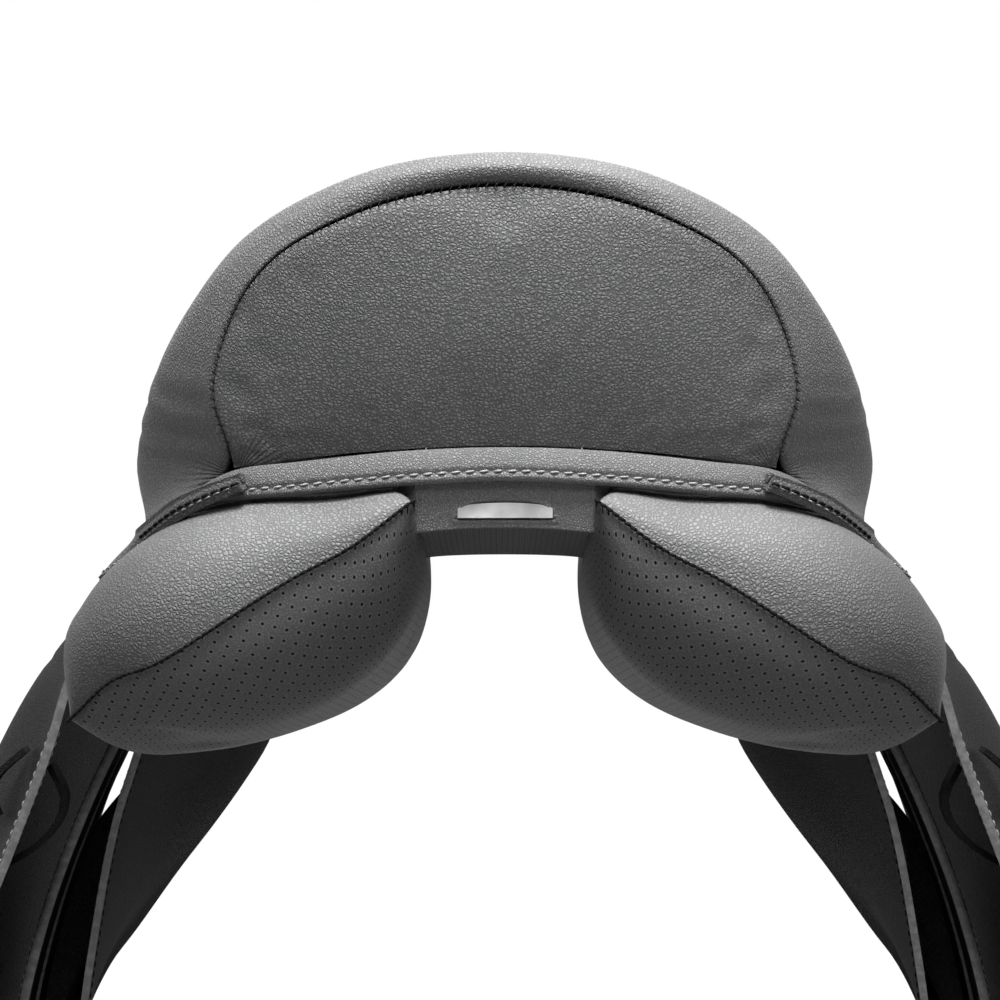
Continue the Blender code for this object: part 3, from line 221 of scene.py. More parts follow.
SEAT_CENTRE_Y = [-150, -149, -146, -141, -134, -124, -112, -98, -80, -45, 0, 55, 115, 158, 184, 196]
SEAT_PROFILE_Y = [-150, -100, -50, 0, 50, 100, 150, 180, 196]
SEAT_PROFILE_Z = [68, 61, 58, 59, 65, 79, 101, 117, 126]
SEAT_CREST = [(0, -243, 158), (41, -239, 154), (74, -229, 143.5), (101, -211, 128.5), (119.5, -192, 108),
              (134.5, -172, 85.5), (142, -150, 63), (146, -128, 52), (143, -100, 49), (128, -55, 48),
              (104, -5, 49), (88, 55, 58), (73, 120, 80), (60, 170, 100), (44, 198, 116), (0, 208, 130)]
SEAT_OUTER = [(0, -253, 153.4), (43.3, -249, 149.3), (77.5, -238, 136.5), (106.5, -219, 119.5),
              (127, -199, 96.5), (141, -179, 70.5), (148, -158, 46), (152, -138, 33), (150, -110, 29),
              (134, -62, 38), (109, -6, 42), (94, 56, 53), (80, 121, 74), (68, 173, 93), (50, 206, 108),
              (0, 219, 121)]
SEAT_EDGE = [(0, -252, 146), (36, -251, 142), (64, -247, 133), (90, -237.5, 119), (107, -227, 98),
             (116, -219, 67), (110, -216, 38), (133, -190, 23), (147, -155, 15), (129, -90, 26),
             (105, -5, 34.5), (92, 58, 49), (77, 123, 70), (66, 174, 87), (47, 208, 98), (0, 219, 108)]
BOWL_SHARES = ((0.35, 0.06), (0.7, 0.38), (0.9, 0.78))
MIRROR = np.array([-1.0, 1.0, 1.0])
SIDES = (("right", np.ones(3)), ("left", MIRROR))
TO_METRES = 0.001
AIR_FRAMES = 20
CREASE = 0.36
CLOUD_SCALE = 9.0
FOLDS_ROUND = 46.0
# Painted highlight round punched holes, and painted shade inside them.
RIM_HIGHLIGHT_TONE = (0.16, 0.16, 0.162, 1.0)
HOLE_SHADE_TONE = grey(0.002)
# Painted shade: the colour that the gussets' outer ends are darkened towards.
PAINTED_SHADE_TONE = grey(0.012)
THREAD_TURNS = [math.pi / 3 * n for n in range(6)]
STITCH_PROFILE = ((-0.5, 0.45, -0.45), (-0.3, 0.9, 0.05), (0.0, 1.0, 0.22), (0.3, 0.9, 0.05),
                  (0.5, 0.45, -0.45))


def even(count):
    """Evenly spaced shares from 0 to 1."""
    return np.linspace(0.0, 1.0, count)


def mix(first, last, share):
    """What lies between first and last, a share of the way along."""
    return first + (last - first) * share


def unit(vectors):
    """The same directions with a length of 1."""
    return vectors / np.maximum(np.linalg.norm(vectors, axis=-1, keepdims=True), 1e-9)


def rising(at, low, high):
    """0 below low, 1 above high, straight between."""
    return np.clip((at - low) / (high - low), 0.0, 1.0)


def hump(at, centre, width):
    """1 at the centre, falling off on both sides over about the width."""
    return np.exp(-((at - centre) / width) ** 2)


def smooth(knots, values, at):
    """Cubic through (knots, values) with averaged slopes, held level past both ends."""
    knots = np.asarray(knots, dtype=float)
    values = np.asarray(values, dtype=float)
    if knots[0] > knots[-1]:
        knots, values = knots[::-1], values[::-1]
    tail = (-1,) + (1,) * (values.ndim - 1)
    steps = np.diff(values, axis=0) / np.diff(knots).reshape(tail)
    slopes = np.concatenate([steps[:1], (steps[:-1] + steps[1:]) / 2, steps[-1:]])
    at = np.clip(np.asarray(at, dtype=float), knots[0], knots[-1])
    span = np.clip(np.searchsorted(knots, at, side="right") - 1, 0, len(knots) - 2)
    wide = (knots[span + 1] - knots[span]).reshape(at.shape + (1,) * (values.ndim - 1))
    f = (at - knots[span]).reshape(wide.shape) / wide
    return (values[span] * (2 * f ** 3 - 3 * f ** 2 + 1) + values[span + 1] * (3 * f ** 2 - 2 * f ** 3)
            + slopes[span] * wide * (f ** 3 - 2 * f ** 2 + f) + slopes[span + 1] * wide * (f ** 3 - f ** 2))


def spread(body, at, first=None, last=None):
    """Catmull-Rom through the first axis of body. The rows that steer its ends, first and last,
    carry it on straight where they aren't given.
    """
    first = 2 * body[0] - body[1] if first is None else first
    last = 2 * body[-1] - body[-2] if last is None else last
    rows = np.concatenate([[first], body, [last]])
    at = np.atleast_1d(np.asarray(at, dtype=float))
    span = np.clip(np.floor(at).astype(int), 0, len(body) - 2)
    f = (at - span).reshape((-1,) + (1,) * (body.ndim - 1))
    p0, p1, p2, p3 = rows[span], rows[span + 1], rows[span + 2], rows[span + 3]
    return 0.5 * (2 * p1 + (p2 - p0) * f + (2 * p0 - 5 * p1 + 4 * p2 - p3) * f ** 2
                  + (3 * p1 - p0 - 3 * p2 + p3) * f ** 3)


def seat_surface(round_at, across_at):
    """Points of the right half. round_at runs from the cantle, 0, to the pommel, 15, and
    across_at from the centre line, 0, over the crest of the roll, 4, to the seam, 6.
    """
    net = []
    for y, crest, outer, edge in zip(SEAT_CENTRE_Y, SEAT_CREST, SEAT_OUTER, SEAT_EDGE):
        centre = np.array([0.0, y, smooth(SEAT_PROFILE_Y, SEAT_PROFILE_Z, y)])
        crest = np.array(crest, dtype=float)
        row = [centre]
        for reach, rise in BOWL_SHARES:
            point = mix(centre, crest, reach)
            point[2] = mix(centre[2], crest[2], rise)
            row.append(point)
        net.append(row + [crest, np.array(outer, dtype=float), np.array(edge, dtype=float)])
    net = np.array(net)
    columns = np.swapaxes(spread(net, round_at, net[1] * MIRROR, net[-2] * MIRROR), 0, 1)
    return np.swapaxes(spread(columns, across_at, columns[1] * MIRROR), 0, 1)


def arc(grid, axis):
    """How far each point lies along one axis of a grid or run, measured on its surface."""
    steps = np.diff(grid, axis=axis, prepend=grid.take([0], axis=axis))
    return np.cumsum(np.linalg.norm(steps, axis=-1), axis=axis)


def normals_of(grid, outward):
    """Unit normals of a grid of points, on the side that outward points to."""
    normal = unit(np.cross(np.gradient(grid, axis=0), np.gradient(grid, axis=1)))
    return normal if np.sum(normal * np.asarray(outward)) > 0 else -normal


def skin(name, grid, outward, looks, thickness=0.0, loop=False):
    """A mesh on a grid in millimetres, with its outer face on the grid. Its UV map is in metres
    along and across the leather. A thickness goes inwards, and its cut edge takes the last look.
    """
    rows, columns, _ = grid.shape
    normal = np.cross(np.gradient(grid, axis=0), np.gradient(grid, axis=1))
    turn = np.sum(normal * np.asarray(outward)) < 0
    far = np.concatenate([grid, grid[:1]]) if loop else grid
    u = arc(far, 0) * TO_METRES
    u -= u[len(u) // 2]
    v = arc(far, 1) * TO_METRES
    v -= v[:, columns // 2:columns // 2 + 1]
    faces, cut = [], []
    for i in range(len(far) - 1):
        for j in range(columns - 1):
            corners = ((i, j), (i + 1, j), (i + 1, j + 1), (i, j + 1))[::-1 if turn else 1]
            faces.append([a % rows * columns + b for a, b in corners])
            cut.extend((u[a, b], v[a, b]) for a, b in corners)
    mesh = bpy.data.meshes.new(name)
    mesh.from_pydata([tuple(point) for point in (grid * TO_METRES).reshape(-1, 3)], [], faces)
    mesh.uv_layers.new(name="cut").data.foreach_set("uv", np.array(cut).ravel())
    for look in looks:
        mesh.materials.append(look)
    made = put(name, mesh)
    if thickness:
        thick = made.modifiers.new("leather", "SOLIDIFY")
        thick.thickness = thickness * TO_METRES
        thick.offset = -1.0
        thick.material_offset_rim = len(looks) - 1
    mesh.shade_smooth()
    return made


def grain(ink, cell):
    """Height of pebbled leather from 0 in a crease to 1, with pebbles of about cell metres."""
    warp = ink.node("TexNoise", {"Vector": ink.spot(), "Scale": 0.35 / cell, "Detail": 2.0}, "Color")
    bent = ink.node("VectorMath", {0: warp, "Scale": cell * 0.9}, operation="SCALE")
    place = ink.node("VectorMath", {0: ink.spot(), 1: bent}, operation="ADD")
    edge = ink.node("TexVoronoi", {"Vector": place, "Scale": 1.0 / cell}, feature="DISTANCE_TO_EDGE")
    fine = ink.node("TexVoronoi", {"Vector": place, "Scale": 2.3 / cell}, feature="DISTANCE_TO_EDGE")
    dust = ink.node("TexNoise", {"Vector": ink.spot(), "Scale": 3.0 / cell, "Detail": 3.0})
    return edge.ramp(-0.04, CREASE) * 0.8 + fine.ramp(0.0, CREASE) * 0.1 + dust * 0.12


def punched(ink, pitch, radius):
    """Small holes in staggered rows, in metres: where a hole is, and the ring round it where a highlight is
    painted.
    """
    cut = ink.node("UVMap", {}, uv_map="cut")
    u = cut.along("X") / pitch
    v = cut.along("Y") / (pitch * 0.5)
    row = v - v % 1.0
    across = (u + row * 0.5) % 1.0 - 0.5
    down = (v % 1.0 - 0.5) * 0.5
    away = (across * across + down * down) ** 0.5 * pitch
    rim = away.ramp(radius, radius * 1.5) * (1.0 - away.ramp(radius * 1.6, radius * 2.6))
    return 1.0 - away.ramp(radius * 0.75, radius * 1.25), rim


def finished(look, ink, relief, values):
    """The look, with one surface that has the given values and a relief in metres."""
    bump = ink.node("Bump", {"Strength": 1.0, "Distance": 1.0, "Height": relief})
    ink.node("OutputMaterial", {"Surface": ink.node("BsdfPrincipled", {**values, "Normal": bump})})
    return look


def leather(name, dark, light, cell, depth, rough, gloss, dots=None, gathers=(), painted_shade_span=None):
    """Dyed hide: creases darker than the pebbles, cloudy where it is handled, and rougher in
    the creases. dots is (pitch, radius) in metres where the hide is punched with small holes, which
    get painted shade inside and a painted highlight round them, and gathers lists (x, z, height,
    reach) of the points that fine folds run out from. The last argument is the distances from the
    middle of the saddle between which the hide is darkened with painted shade.
    """
    look, ink = new_look(name)
    height = grain(ink, cell)
    cloud = ink.node("TexNoise", {"Vector": ink.spot(), "Scale": CLOUD_SCALE, "Detail": 4.0})
    tone = height * 0.66 + cloud.ramp(0.3, 0.72) * 0.2 + 0.08
    colour = tone.between((*dark, 1.0), (*light, 1.0))
    relief = height * depth
    rougher = (1.0 - height) * 0.12 + cloud * 0.1 + rough - 0.08
    if dots:
        hole, rim = punched(ink, *dots)
        relief = relief * (1.0 - hole) - hole * (depth * 3.0)
        rougher = rougher + hole * 0.3
        # Painted highlight on the ring round each hole, and painted shade inside the hole.
        colour = hole.between((rim * 0.5).between(colour, RIM_HIGHLIGHT_TONE), HOLE_SHADE_TONE)
    # Painted shade: the hide darkens between the given distances from the middle of the saddle.
    if painted_shade_span:
        off_middle = ink.spot().along("X")
        painted_shade_mask = (off_middle.maths("ABSOLUTE") + cloud * 0.02).ramp(*painted_shade_span) * 0.68
        colour = painted_shade_mask.between(colour, PAINTED_SHADE_TONE)
    for x, z, high, reach in gathers:
        away_x = ink.spot().along("X") - x
        away_z = ink.spot().along("Z") - z
        far = (away_x * away_x + away_z * away_z) ** 0.5
        turn = away_z.maths("ARCTAN2", away_x) + cloud * 0.5
        shown = (1.0 - far.ramp(reach * 0.25, reach)) * far.ramp(0.001, 0.006)
        relief = relief + (turn * FOLDS_ROUND).maths("SINE") * shown * high
    return finished(look, ink, relief, {"Base Color": colour, "Roughness": rougher,
                                        "Specular IOR Level": gloss})


def plain_finish(name, colour, rough, metallic=0.0, scratch=0.0, scale=220.0, gloss=0.5):
    """Thread, painted edges, plastic and metal: one colour with fine wear in its roughness."""
    look, ink = new_look(name)
    wear = ink.node("TexNoise", {"Vector": ink.spot(), "Scale": scale, "Detail": 5.0})
    worn = tuple(min(1.0, c * 1.35 + 0.01) for c in colour)
    dull = tuple(c * 0.8 for c in colour)
    shade = wear.ramp(0.35, 0.7).between((*dull, 1.0), (*worn, 1.0))
    return finished(look, ink, wear * (0.00003 + scratch),
                    {"Base Color": shade, "Roughness": wear * 0.15 + rough - 0.05, "Metallic": metallic,
                     "Specular IOR Level": gloss})


def run_normals(path, outward):
    """Unit normals of a run of points that face away from the leather."""
    along = unit(np.gradient(path, axis=0))
    out = np.broadcast_to(np.asarray(outward, dtype=float), path.shape)
    return unit(out - along * np.sum(out * along, axis=1, keepdims=True))


def stitches(name, path, outward, sewing, look):
    """A row of stitches along a run of points in millimetres. Each is a short length of thread
    that rises from the leather and dips back into it. sewing is their pitch, length and thickness,
    and the angle that they are turned from the row.
    """
    pitch, length, thick, slant = sewing
    out = run_normals(path, outward)
    reach = arc(path, 0)
    count = max(int(reach[-1] / pitch), 1)
    made = bmesh.new()
    for k in range(count):
        s = (k + 0.5) * reach[-1] / count
        at, ahead, behind = (np.array([np.interp(s + further, reach, path[:, c]) for c in range(3)])
                             for further in (0.0, 0.5, -0.5))
        up = np.array([np.interp(s, reach, out[:, c]) for c in range(3)])
        along = unit(ahead - behind)
        run = along * math.cos(slant) + np.cross(up, along) * math.sin(slant)
        cross = np.cross(up, run)
        rings = []
        for step, size, rise in STITCH_PROFILE:
            centre = at + run * length * step + up * thick * rise
            arms = [cross * math.cos(turn) + up * math.sin(turn) for turn in THREAD_TURNS]
            points = [(centre + arm * thick * 0.5 * size) * TO_METRES for arm in arms]
            rings.append([made.verts.new(tuple(point)) for point in points])
        for first, second in zip(rings, rings[1:]):
            for n in range(len(first)):
                after = (n + 1) % len(first)
                made.faces.new((first[n], first[after], second[after], second[n]))
        made.faces.new(rings[0][::-1])
        made.faces.new(rings[-1])
    bmesh.ops.recalc_face_normals(made, faces=made.faces)
    mesh = bpy.data.meshes.new(name)
    made.to_mesh(mesh)
    made.free()
    mesh.shade_smooth()
    mesh.materials.append(look)
    return put(name, mesh)


def sew(name, path, outward, sewing, yarn, body):
    """A row of stitches that moves with a body."""
    row = stitches(name, path, outward, sewing, yarn)
    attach(row, body)


def settle(made, held, pressure, slack, most):
    """The pad is blown up from inside while the held points stay sewn. No point moves further
    than most millimetres, and the shape it takes is kept as the mesh.
    """
    group = made.vertex_groups.new(name="sewn")
    group.add([int(index) for index in held], 1.0, "REPLACE")
    cloth = made.modifiers.new("air", "CLOTH")
    fabric = cloth.settings
    fabric.vertex_group_mass = "sewn"
    fabric.quality = 5
    fabric.tension_stiffness = 30.0
    fabric.compression_stiffness = 30.0
    fabric.shear_stiffness = 10.0
    fabric.bending_stiffness = 0.8
    fabric.use_pressure = True
    fabric.uniform_pressure_force = pressure
    fabric.shrink_min = -slack
    fabric.effector_weights.gravity = 0.0
    for number in range(AIR_FRAMES):
        scene.frame_set(number + 1)
    blown = made.evaluated_get(bpy.context.evaluated_depsgraph_get())
    rest, moved = np.zeros((2, len(made.data.vertices) * 3))
    made.data.vertices.foreach_get("co", rest)
    blown.data.vertices.foreach_get("co", moved)
    step = (moved - rest).reshape(-1, 3)
    far = np.linalg.norm(step, axis=1, keepdims=True)
    step *= np.minimum(1.0, most * TO_METRES / np.maximum(far, 1e-9))
    made.modifiers.remove(cloth)
    made.data.vertices.foreach_set("co", rest + step.ravel())
    made.data.update()
    scene.frame_set(1)


SEAT_HIDE = leather("seat_hide", (0.045, 0.045, 0.046), (0.185, 0.185, 0.188), 0.0015, 0.0003, 0.5, 0.24,
                    gathers=[(-0.1065, 0.034, 0.00032, 0.03), (0.1065, 0.034, 0.00016, 0.022)])
DARK_THREAD = plain_finish("dark_thread", (0.008, 0.008, 0.008), 0.8, scale=900.0, gloss=0.02)
GREY_THREAD = plain_finish("grey_thread", (0.28, 0.28, 0.28), 0.6, scale=900.0)
CUT_EDGE = plain_finish("painted_edge", (0.11, 0.11, 0.112), 0.5, scale=300.0)
THIN_LEATHER = 2.0
GATHERED_AT, GATHER_WIDTH = 5.55, 0.55
GATHER_FROM, GATHER_FULL = 4.2, 5.4
TUCK_FROM, TUCK_FULL = 5.55, 6.0
TUCK_FADES, TUCK_ENDS = 6.0, 6.6
TUCK = np.array([0.0, 1.6, 0.0])
SEAT_FOLDS = ((0.55, 17.0, 1.5, 0.0), (1.15, 13.0, -2.2, 0.8))

round_at = np.linspace(0.0, 15.0, 151)
across_at = np.concatenate([np.linspace(0.0, 3.0, 16), np.linspace(3.1, 6.0, 30)])
half = seat_surface(round_at, across_at)
half[[0, -1], :, 0] = 0.0
half[:, 0, 0] = 0.0
row, column = np.meshgrid(round_at, across_at, indexing="ij")
tuck = rising(column, TUCK_FROM, TUCK_FULL) ** 2 * (1 - rising(row, TUCK_FADES, TUCK_ENDS))
pucker = hump(row, GATHERED_AT, GATHER_WIDTH) * rising(column, GATHER_FROM, GATHER_FULL) * (1 - tuck)
right_half, left_half = (half + normals_of(half, (0, 0, 1)) * (pucker * folds)[:, :, None]
                         + TUCK * tuck[:, :, None]
                         for folds in (high * np.sin(row * turns + column * lean + start)
                                       for high, turns, lean, start in SEAT_FOLDS))
ring = np.concatenate([right_half, (left_half * MIRROR)[-2:0:-1]])
seat = skin("seat_leather", ring, (0, 0, 1), [SEAT_HIDE], THIN_LEATHER, loop=True)
welded = bmesh.new()
welded.from_mesh(seat.data)
bmesh.ops.remove_doubles(welded, verts=welded.verts, dist=0.00002)
welded.to_mesh(seat.data)
welded.free()
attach(seat, "saddle")
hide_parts("seat_cover", "seat_foam")


# Cantle back. A thin padded panel of the same hide closes the back of the roll. It is sewn to
# the roll along one curved seam by hand, with short slanting stitches in dark thread.

BACK_FOOT = [(0, -235, 45.2), (20, -234.6, 44.8), (40, -233.5, 43.8), (60, -231, 42.3),
             (80, -227, 40.2), (98, -221, 37.7), (107, -216, 36.6)]
SEAM_LAST = 5.85
SEAM_CENTRE = np.array([0.0, 0.0, 75.0])
BACK_FULLNESS = 3.6
HAND_SEAM = (3.5, 2.7, 0.6, 0.95)


def run_along(points, at):
    """A smooth run through table points, which go on mirrored past one on the centre plane."""
    body = np.array(points, dtype=float)
    return spread(body, at, body[1] * MIRROR if body[0][0] == 0 else None)


def both_sides(half):
    """A grid or run of the right half and its mirror, joined along the centre plane."""
    half = half.copy()
    half[0, ..., 0] = 0.0
    return np.concatenate([(half * MIRROR)[:0:-1], half])


def seam_run(round_at, inset):
    """The seam of the roll, moved by inset towards the middle of the cantle back."""
    seam = seat_surface(round_at, [6.0])[:, 0]
    inward = SEAM_CENTRE - seam
    inward[:, 1] = 0.0
    return seam + unit(inward) * inset


round_at = np.linspace(0.0, SEAM_LAST, 49)
seam = seam_run(round_at, 1.2)
foot = run_along(BACK_FOOT, round_at * (len(BACK_FOOT) - 1) / SEAM_LAST)
shares = even(30)
back = mix(foot[:, None], seam[:, None], shares[:, None])
reach = np.linalg.norm(seam - foot, axis=1)[:, None]
back[:, :, 1] -= BACK_FULLNESS * np.sin(np.pi * shares) ** 0.8 * np.minimum(reach / 60.0, 1.0)
back[:, -1, 1] += 0.3
panel_back = skin("cantle_back_leather", both_sides(back), (0, -1, 0), [SEAT_HIDE])
columns = len(shares)
sewn = [k for k in range(len(panel_back.data.vertices)) if k % columns in (0, columns - 1)]
settle(panel_back, sewn, pressure=4.0, slack=0.004, most=2.5)
panel_back.modifiers.new("smooth", "SUBSURF").render_levels = 1
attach(panel_back, "saddle")
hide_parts("cantle_back")

seam_row = both_sides(seam_run(np.linspace(0.0, SEAM_LAST, 240), 0.7) + np.array([0.0, -0.5, 0.0]))
sew("cantle_seam_stitches", seam_row, (0, -1, 0), HAND_SEAM, DARK_THREAD, "saddle")


# Cantle band. A strip of fine grained leather is lapped over the foot of the back panel, turned
# under along its lower edge and sewn with one row of grey thread.

BAND_TOP = [(0, -236, 44.5), (40, -234.5, 43), (80, -228, 39), (107, -217, 35.5), (128, -198, 24.5),
            (143, -166, 14)]
BAND_FOOT = [(0, -238.5, 32), (40, -237, 30), (80, -230.5, 26.5), (107, -219, 24), (126, -200, 19),
             (140, -167, 11)]
BAND_HIDE = leather("band_hide", (0.05, 0.05, 0.051), (0.24, 0.24, 0.243), 0.0011, 0.00022, 0.46, 0.4)
BAND_TURN = ((-0.5, 0.5), (-0.3, 1.4), (0.6, 2.6), (1.6, 3.0))
BAND_ROW_AT = 0.76
BAND_SEWING = (5.4, 3.8, 0.95, 0.1)

round_at = np.linspace(0.0, 5.0, 80)
top = run_along(BAND_TOP, round_at)
foot = run_along(BAND_FOOT, round_at)
shares = even(17)
band = mix(top[:, None], foot[:, None], shares[:, None])
out = normals_of(band, (0, -1, 0))
crown = 0.9 + 1.3 * np.sin(np.pi * shares) ** 0.6 - 0.9 * hump(shares, BAND_ROW_AT, 0.07)
over = (top + np.array([0, 0, 0.2]) - out[:, 0] * 0.9)[:, None]
turned = [(foot + np.array([0, 0, rise]) - out[:, -1] * under)[:, None] for rise, under in BAND_TURN]
band = np.concatenate([over, band + out * crown[:, None], *turned], axis=1)
band_leather = skin("cantle_band_leather", both_sides(band), (0, -1, 0), [BAND_HIDE])
band_leather.modifiers.new("smooth", "SUBSURF").render_levels = 1
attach(band_leather, "saddle")
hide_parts("cantle_band")

round_at = np.linspace(0.0, 4.85, 200)
line = mix(run_along(BAND_TOP, round_at), run_along(BAND_FOOT, round_at), BAND_ROW_AT)
band_row = both_sides(line + np.array([0.0, -1.5, 0.3]))
sew("cantle_band_stitches", band_row, (0, -1, 0), BAND_SEWING, GREY_THREAD, "saddle")


# Rear facing. A stiffened piece of finely lined leather closes the end of the channel under the
# band. An arched seat is pressed in it, and a bare metal plate is glued there.

FACING_HIDE = leather("facing_hide", (0.03, 0.03, 0.031), (0.23, 0.23, 0.232), 0.001, 0.00026, 0.42, 0.35)
BADGE_SEAT = plain_finish("badge_seat", (0.006, 0.006, 0.006), 0.28)
BADGE_METAL = plain_finish("badge_metal", (0.55, 0.55, 0.55), 0.3, scale=60.0)
FACING_Y = -235.9
FACING_HALF = 42.0
FACING_TOP, FACING_FOOT = 37.5, 13.2
OPENING_FOOT = 16.5
OPENING_HALF = 19.2
OPENING_DEEP = 2.1
ARCH_FOOT, ARCH_RISE, ARCH_HALF = 17.0, 6.3, 19.0
LIP_HIGH, LIP_AT, LIP_WIDE = 0.5, -0.9, 0.8
DROOP, DROOP_REACH = 2.0, 34.0
LEAN, LEAN_FROM = 3.0 / 22.0, 36.0
WING_SLOPE, WING_FROM = 0.9, 35.0


def dress(part, look):
    """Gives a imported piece, which shows as it is, its look."""
    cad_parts[part].material_slots[0].material = look


x = np.linspace(-FACING_HALF, FACING_HALF, 169)
z = np.linspace(FACING_TOP, FACING_FOOT, 50)
x_grid, z_grid = np.meshgrid(x, z, indexing="ij")
off_middle = np.abs(x_grid)
z_grid = z_grid - DROOP * np.minimum(off_middle / DROOP_REACH, 1.0) ** 2
arch_top = ARCH_FOOT + ARCH_RISE * np.sqrt(np.clip(1.0 - (off_middle / ARCH_HALF) ** 3, 0.0, 1.0))
inside = np.minimum(np.minimum(arch_top - z_grid, z_grid - OPENING_FOOT), OPENING_HALF - off_middle)
sunk = rising(inside, -0.32, 0.48)
sunk = sunk * sunk * (3 - 2 * sunk)
y_grid = FACING_Y + LEAN * (LEAN_FROM - z_grid) + WING_SLOPE * np.maximum(off_middle - WING_FROM, 0.0)
y_grid += OPENING_DEEP * sunk - LIP_HIGH * hump(inside, LIP_AT, LIP_WIDE)
facing = np.stack([x_grid, y_grid, z_grid], axis=-1)
rear_facing = skin("rear_facing_leather", facing, (0, -1, 0), [FACING_HIDE, BADGE_SEAT, CUT_EDGE],
                   THIN_LEATHER)
for face in rear_facing.data.polygons:
    i, j = divmod(face.index, len(z) - 1)
    if sunk[i:i + 2, j:j + 2].min() > 0.35:
        face.material_index = 1
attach(rear_facing, "saddle")
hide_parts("rear_facing")
dress("badge", BADGE_METAL)


# Panels. Each is a bag of two soft leathers over air cushions: a plain gusset above and a
# punched bearing leather below, sewn edge to edge. They are blown up against the sewn edge.

PANEL_ROWS = [
    (-190, (36, 24), (172, -64), 45.3, 47.0),
    (-100, (36, 10), (160, -68), 40.0, 44.0),
    (0, (36, 0), (139, -72), 28.0, 34.0),
    (100, (39, 10), (122, -76), 15.0, 27.0),
    (190, (43, 24), (108, -74), 9.0, 20.0),
]
GUSSET_SHAPE = [(0, 0), (0.012, 0.17), (0.04, 0.26), (0.12, 0.42), (0.33, 0.82), (0.55, 1.0), (0.83, 0.84),
                (0.96, 0.46), (1, 0)]
LOWER_SHAPE = [(0, 0), (0.02, 0.22), (0.09, 0.55), (0.185, 0.9), (0.38, 1.07), (0.6, 0.96), (0.8, 0.74),
               (0.93, 0.54), (0.98, 0.3), (1, 0)]
PANEL_BACK_Y = -250.0
PANEL_FRONT_Y = 206.0
REAR_ROUND, TOE_ROUND = 62.0, 26.0
BACK_SWEEP, SWEEP_FROM = 34.0, 0.35
CORNER_CUT, CORNER_WIDE = 5.0, 0.15
SEAM_BOWS = ((5.5, 0.87, 0.1), (-3.0, 0.17, 0.13))
ROUNDNESS = 2.4
PANEL_MIDDLE = np.array([100.0, 0.0, -20.0])
PANEL_SEWING = (3.0, 3.4, 1.5, 0.1)
SEAM_TURNS_AT = -150.0
SEAM_STANDS = 0.9
# The gusset hide is darkened with painted shade towards its outer ends.
GUSSET_HIDE = leather("gusset_hide", (0.064, 0.064, 0.065), (0.24, 0.24, 0.243), 0.0016, 0.0003, 0.5,
                      0.22, painted_shade_span=(0.105, 0.185))
# Its punched holes get painted shade inside and a painted highlight round them.
SOLE_HIDE = leather("punched_hide", (0.06, 0.06, 0.061), (0.14, 0.14, 0.141), 0.0012, 0.0001, 0.54,
                    0.12, dots=(0.0066, 0.00058))


def eased(count):
    """Shares from 0 to 1 that lie closer together towards both ends."""
    return np.sin(np.linspace(-np.pi / 2, np.pi / 2, count)) * 0.5 + 0.5


def panel_sheet(lower, along_at, across_at):
    """Points of one leather of the right panel: rows from back to front, columns from the
    channel to the outer seam. Both leathers come to the same line all round.
    """
    fullness = smooth(*zip(*(LOWER_SHAPE if lower else GUSSET_SHAPE)), across_at)
    knots, starts, ends, gusset_heights, lower_heights = zip(*PANEL_ROWS)
    back = (PANEL_BACK_Y + BACK_SWEEP * rising(across_at, SWEEP_FROM, 1.0) ** 2.2
            + CORNER_CUT * (1 - rising(across_at, 0.0, CORNER_WIDE)) ** 2)
    y = mix(back, PANEL_FRONT_Y, along_at[:, None])
    flat = y.ravel()
    start = smooth(knots, starts, flat).reshape(*y.shape, 2)
    chord = smooth(knots, ends, flat).reshape(*y.shape, 2) - start
    height = smooth(knots, lower_heights if lower else gusset_heights, flat).reshape(y.shape)
    normal = unit(np.stack([-chord[..., 1], chord[..., 0]], axis=-1))
    rear = 1.0 - rising(y, back, back + REAR_ROUND)
    toe = rising(y, PANEL_FRONT_Y - TOE_ROUND, PANEL_FRONT_Y)
    full = (1.0 - np.maximum(rear, toe) ** ROUNDNESS) ** (1 / ROUNDNESS)
    rise = height * fullness * full * (-1 if lower else 1)
    across = start + chord * across_at[:, None] + normal * rise[..., None]
    bow = sum(high * hump(across_at, at, width) for high, at, width in SEAM_BOWS)
    return np.stack([across[..., 0], y, across[..., 1] + bow * rear ** 1.5], axis=-1)


def closed_bag(name, upper, lower, looks, flip):
    """One bag from two grids with the same rim, which are joined along it."""
    bag = skin(name, upper * flip, (0, 0, 1), looks)
    sole = skin(name + "_sole", lower * flip, (0, 0, -1), looks)
    for face in sole.data.polygons:
        face.material_index = 1
    rows, columns, _ = upper.shape
    edge = [k for k in range(rows * columns)
            if k // columns in (0, rows - 1) or k % columns in (0, columns - 1)]
    joined = bmesh.new()
    joined.from_mesh(bag.data)
    joined.from_mesh(sole.data)
    joined.verts.ensure_lookup_table()
    pairs = {joined.verts[rows * columns + k]: joined.verts[k] for k in edge}
    bmesh.ops.weld_verts(joined, targetmap=pairs)
    joined.to_mesh(bag.data)
    joined.free()
    bpy.data.objects.remove(sole)
    bag.data.shade_smooth()
    return bag, edge


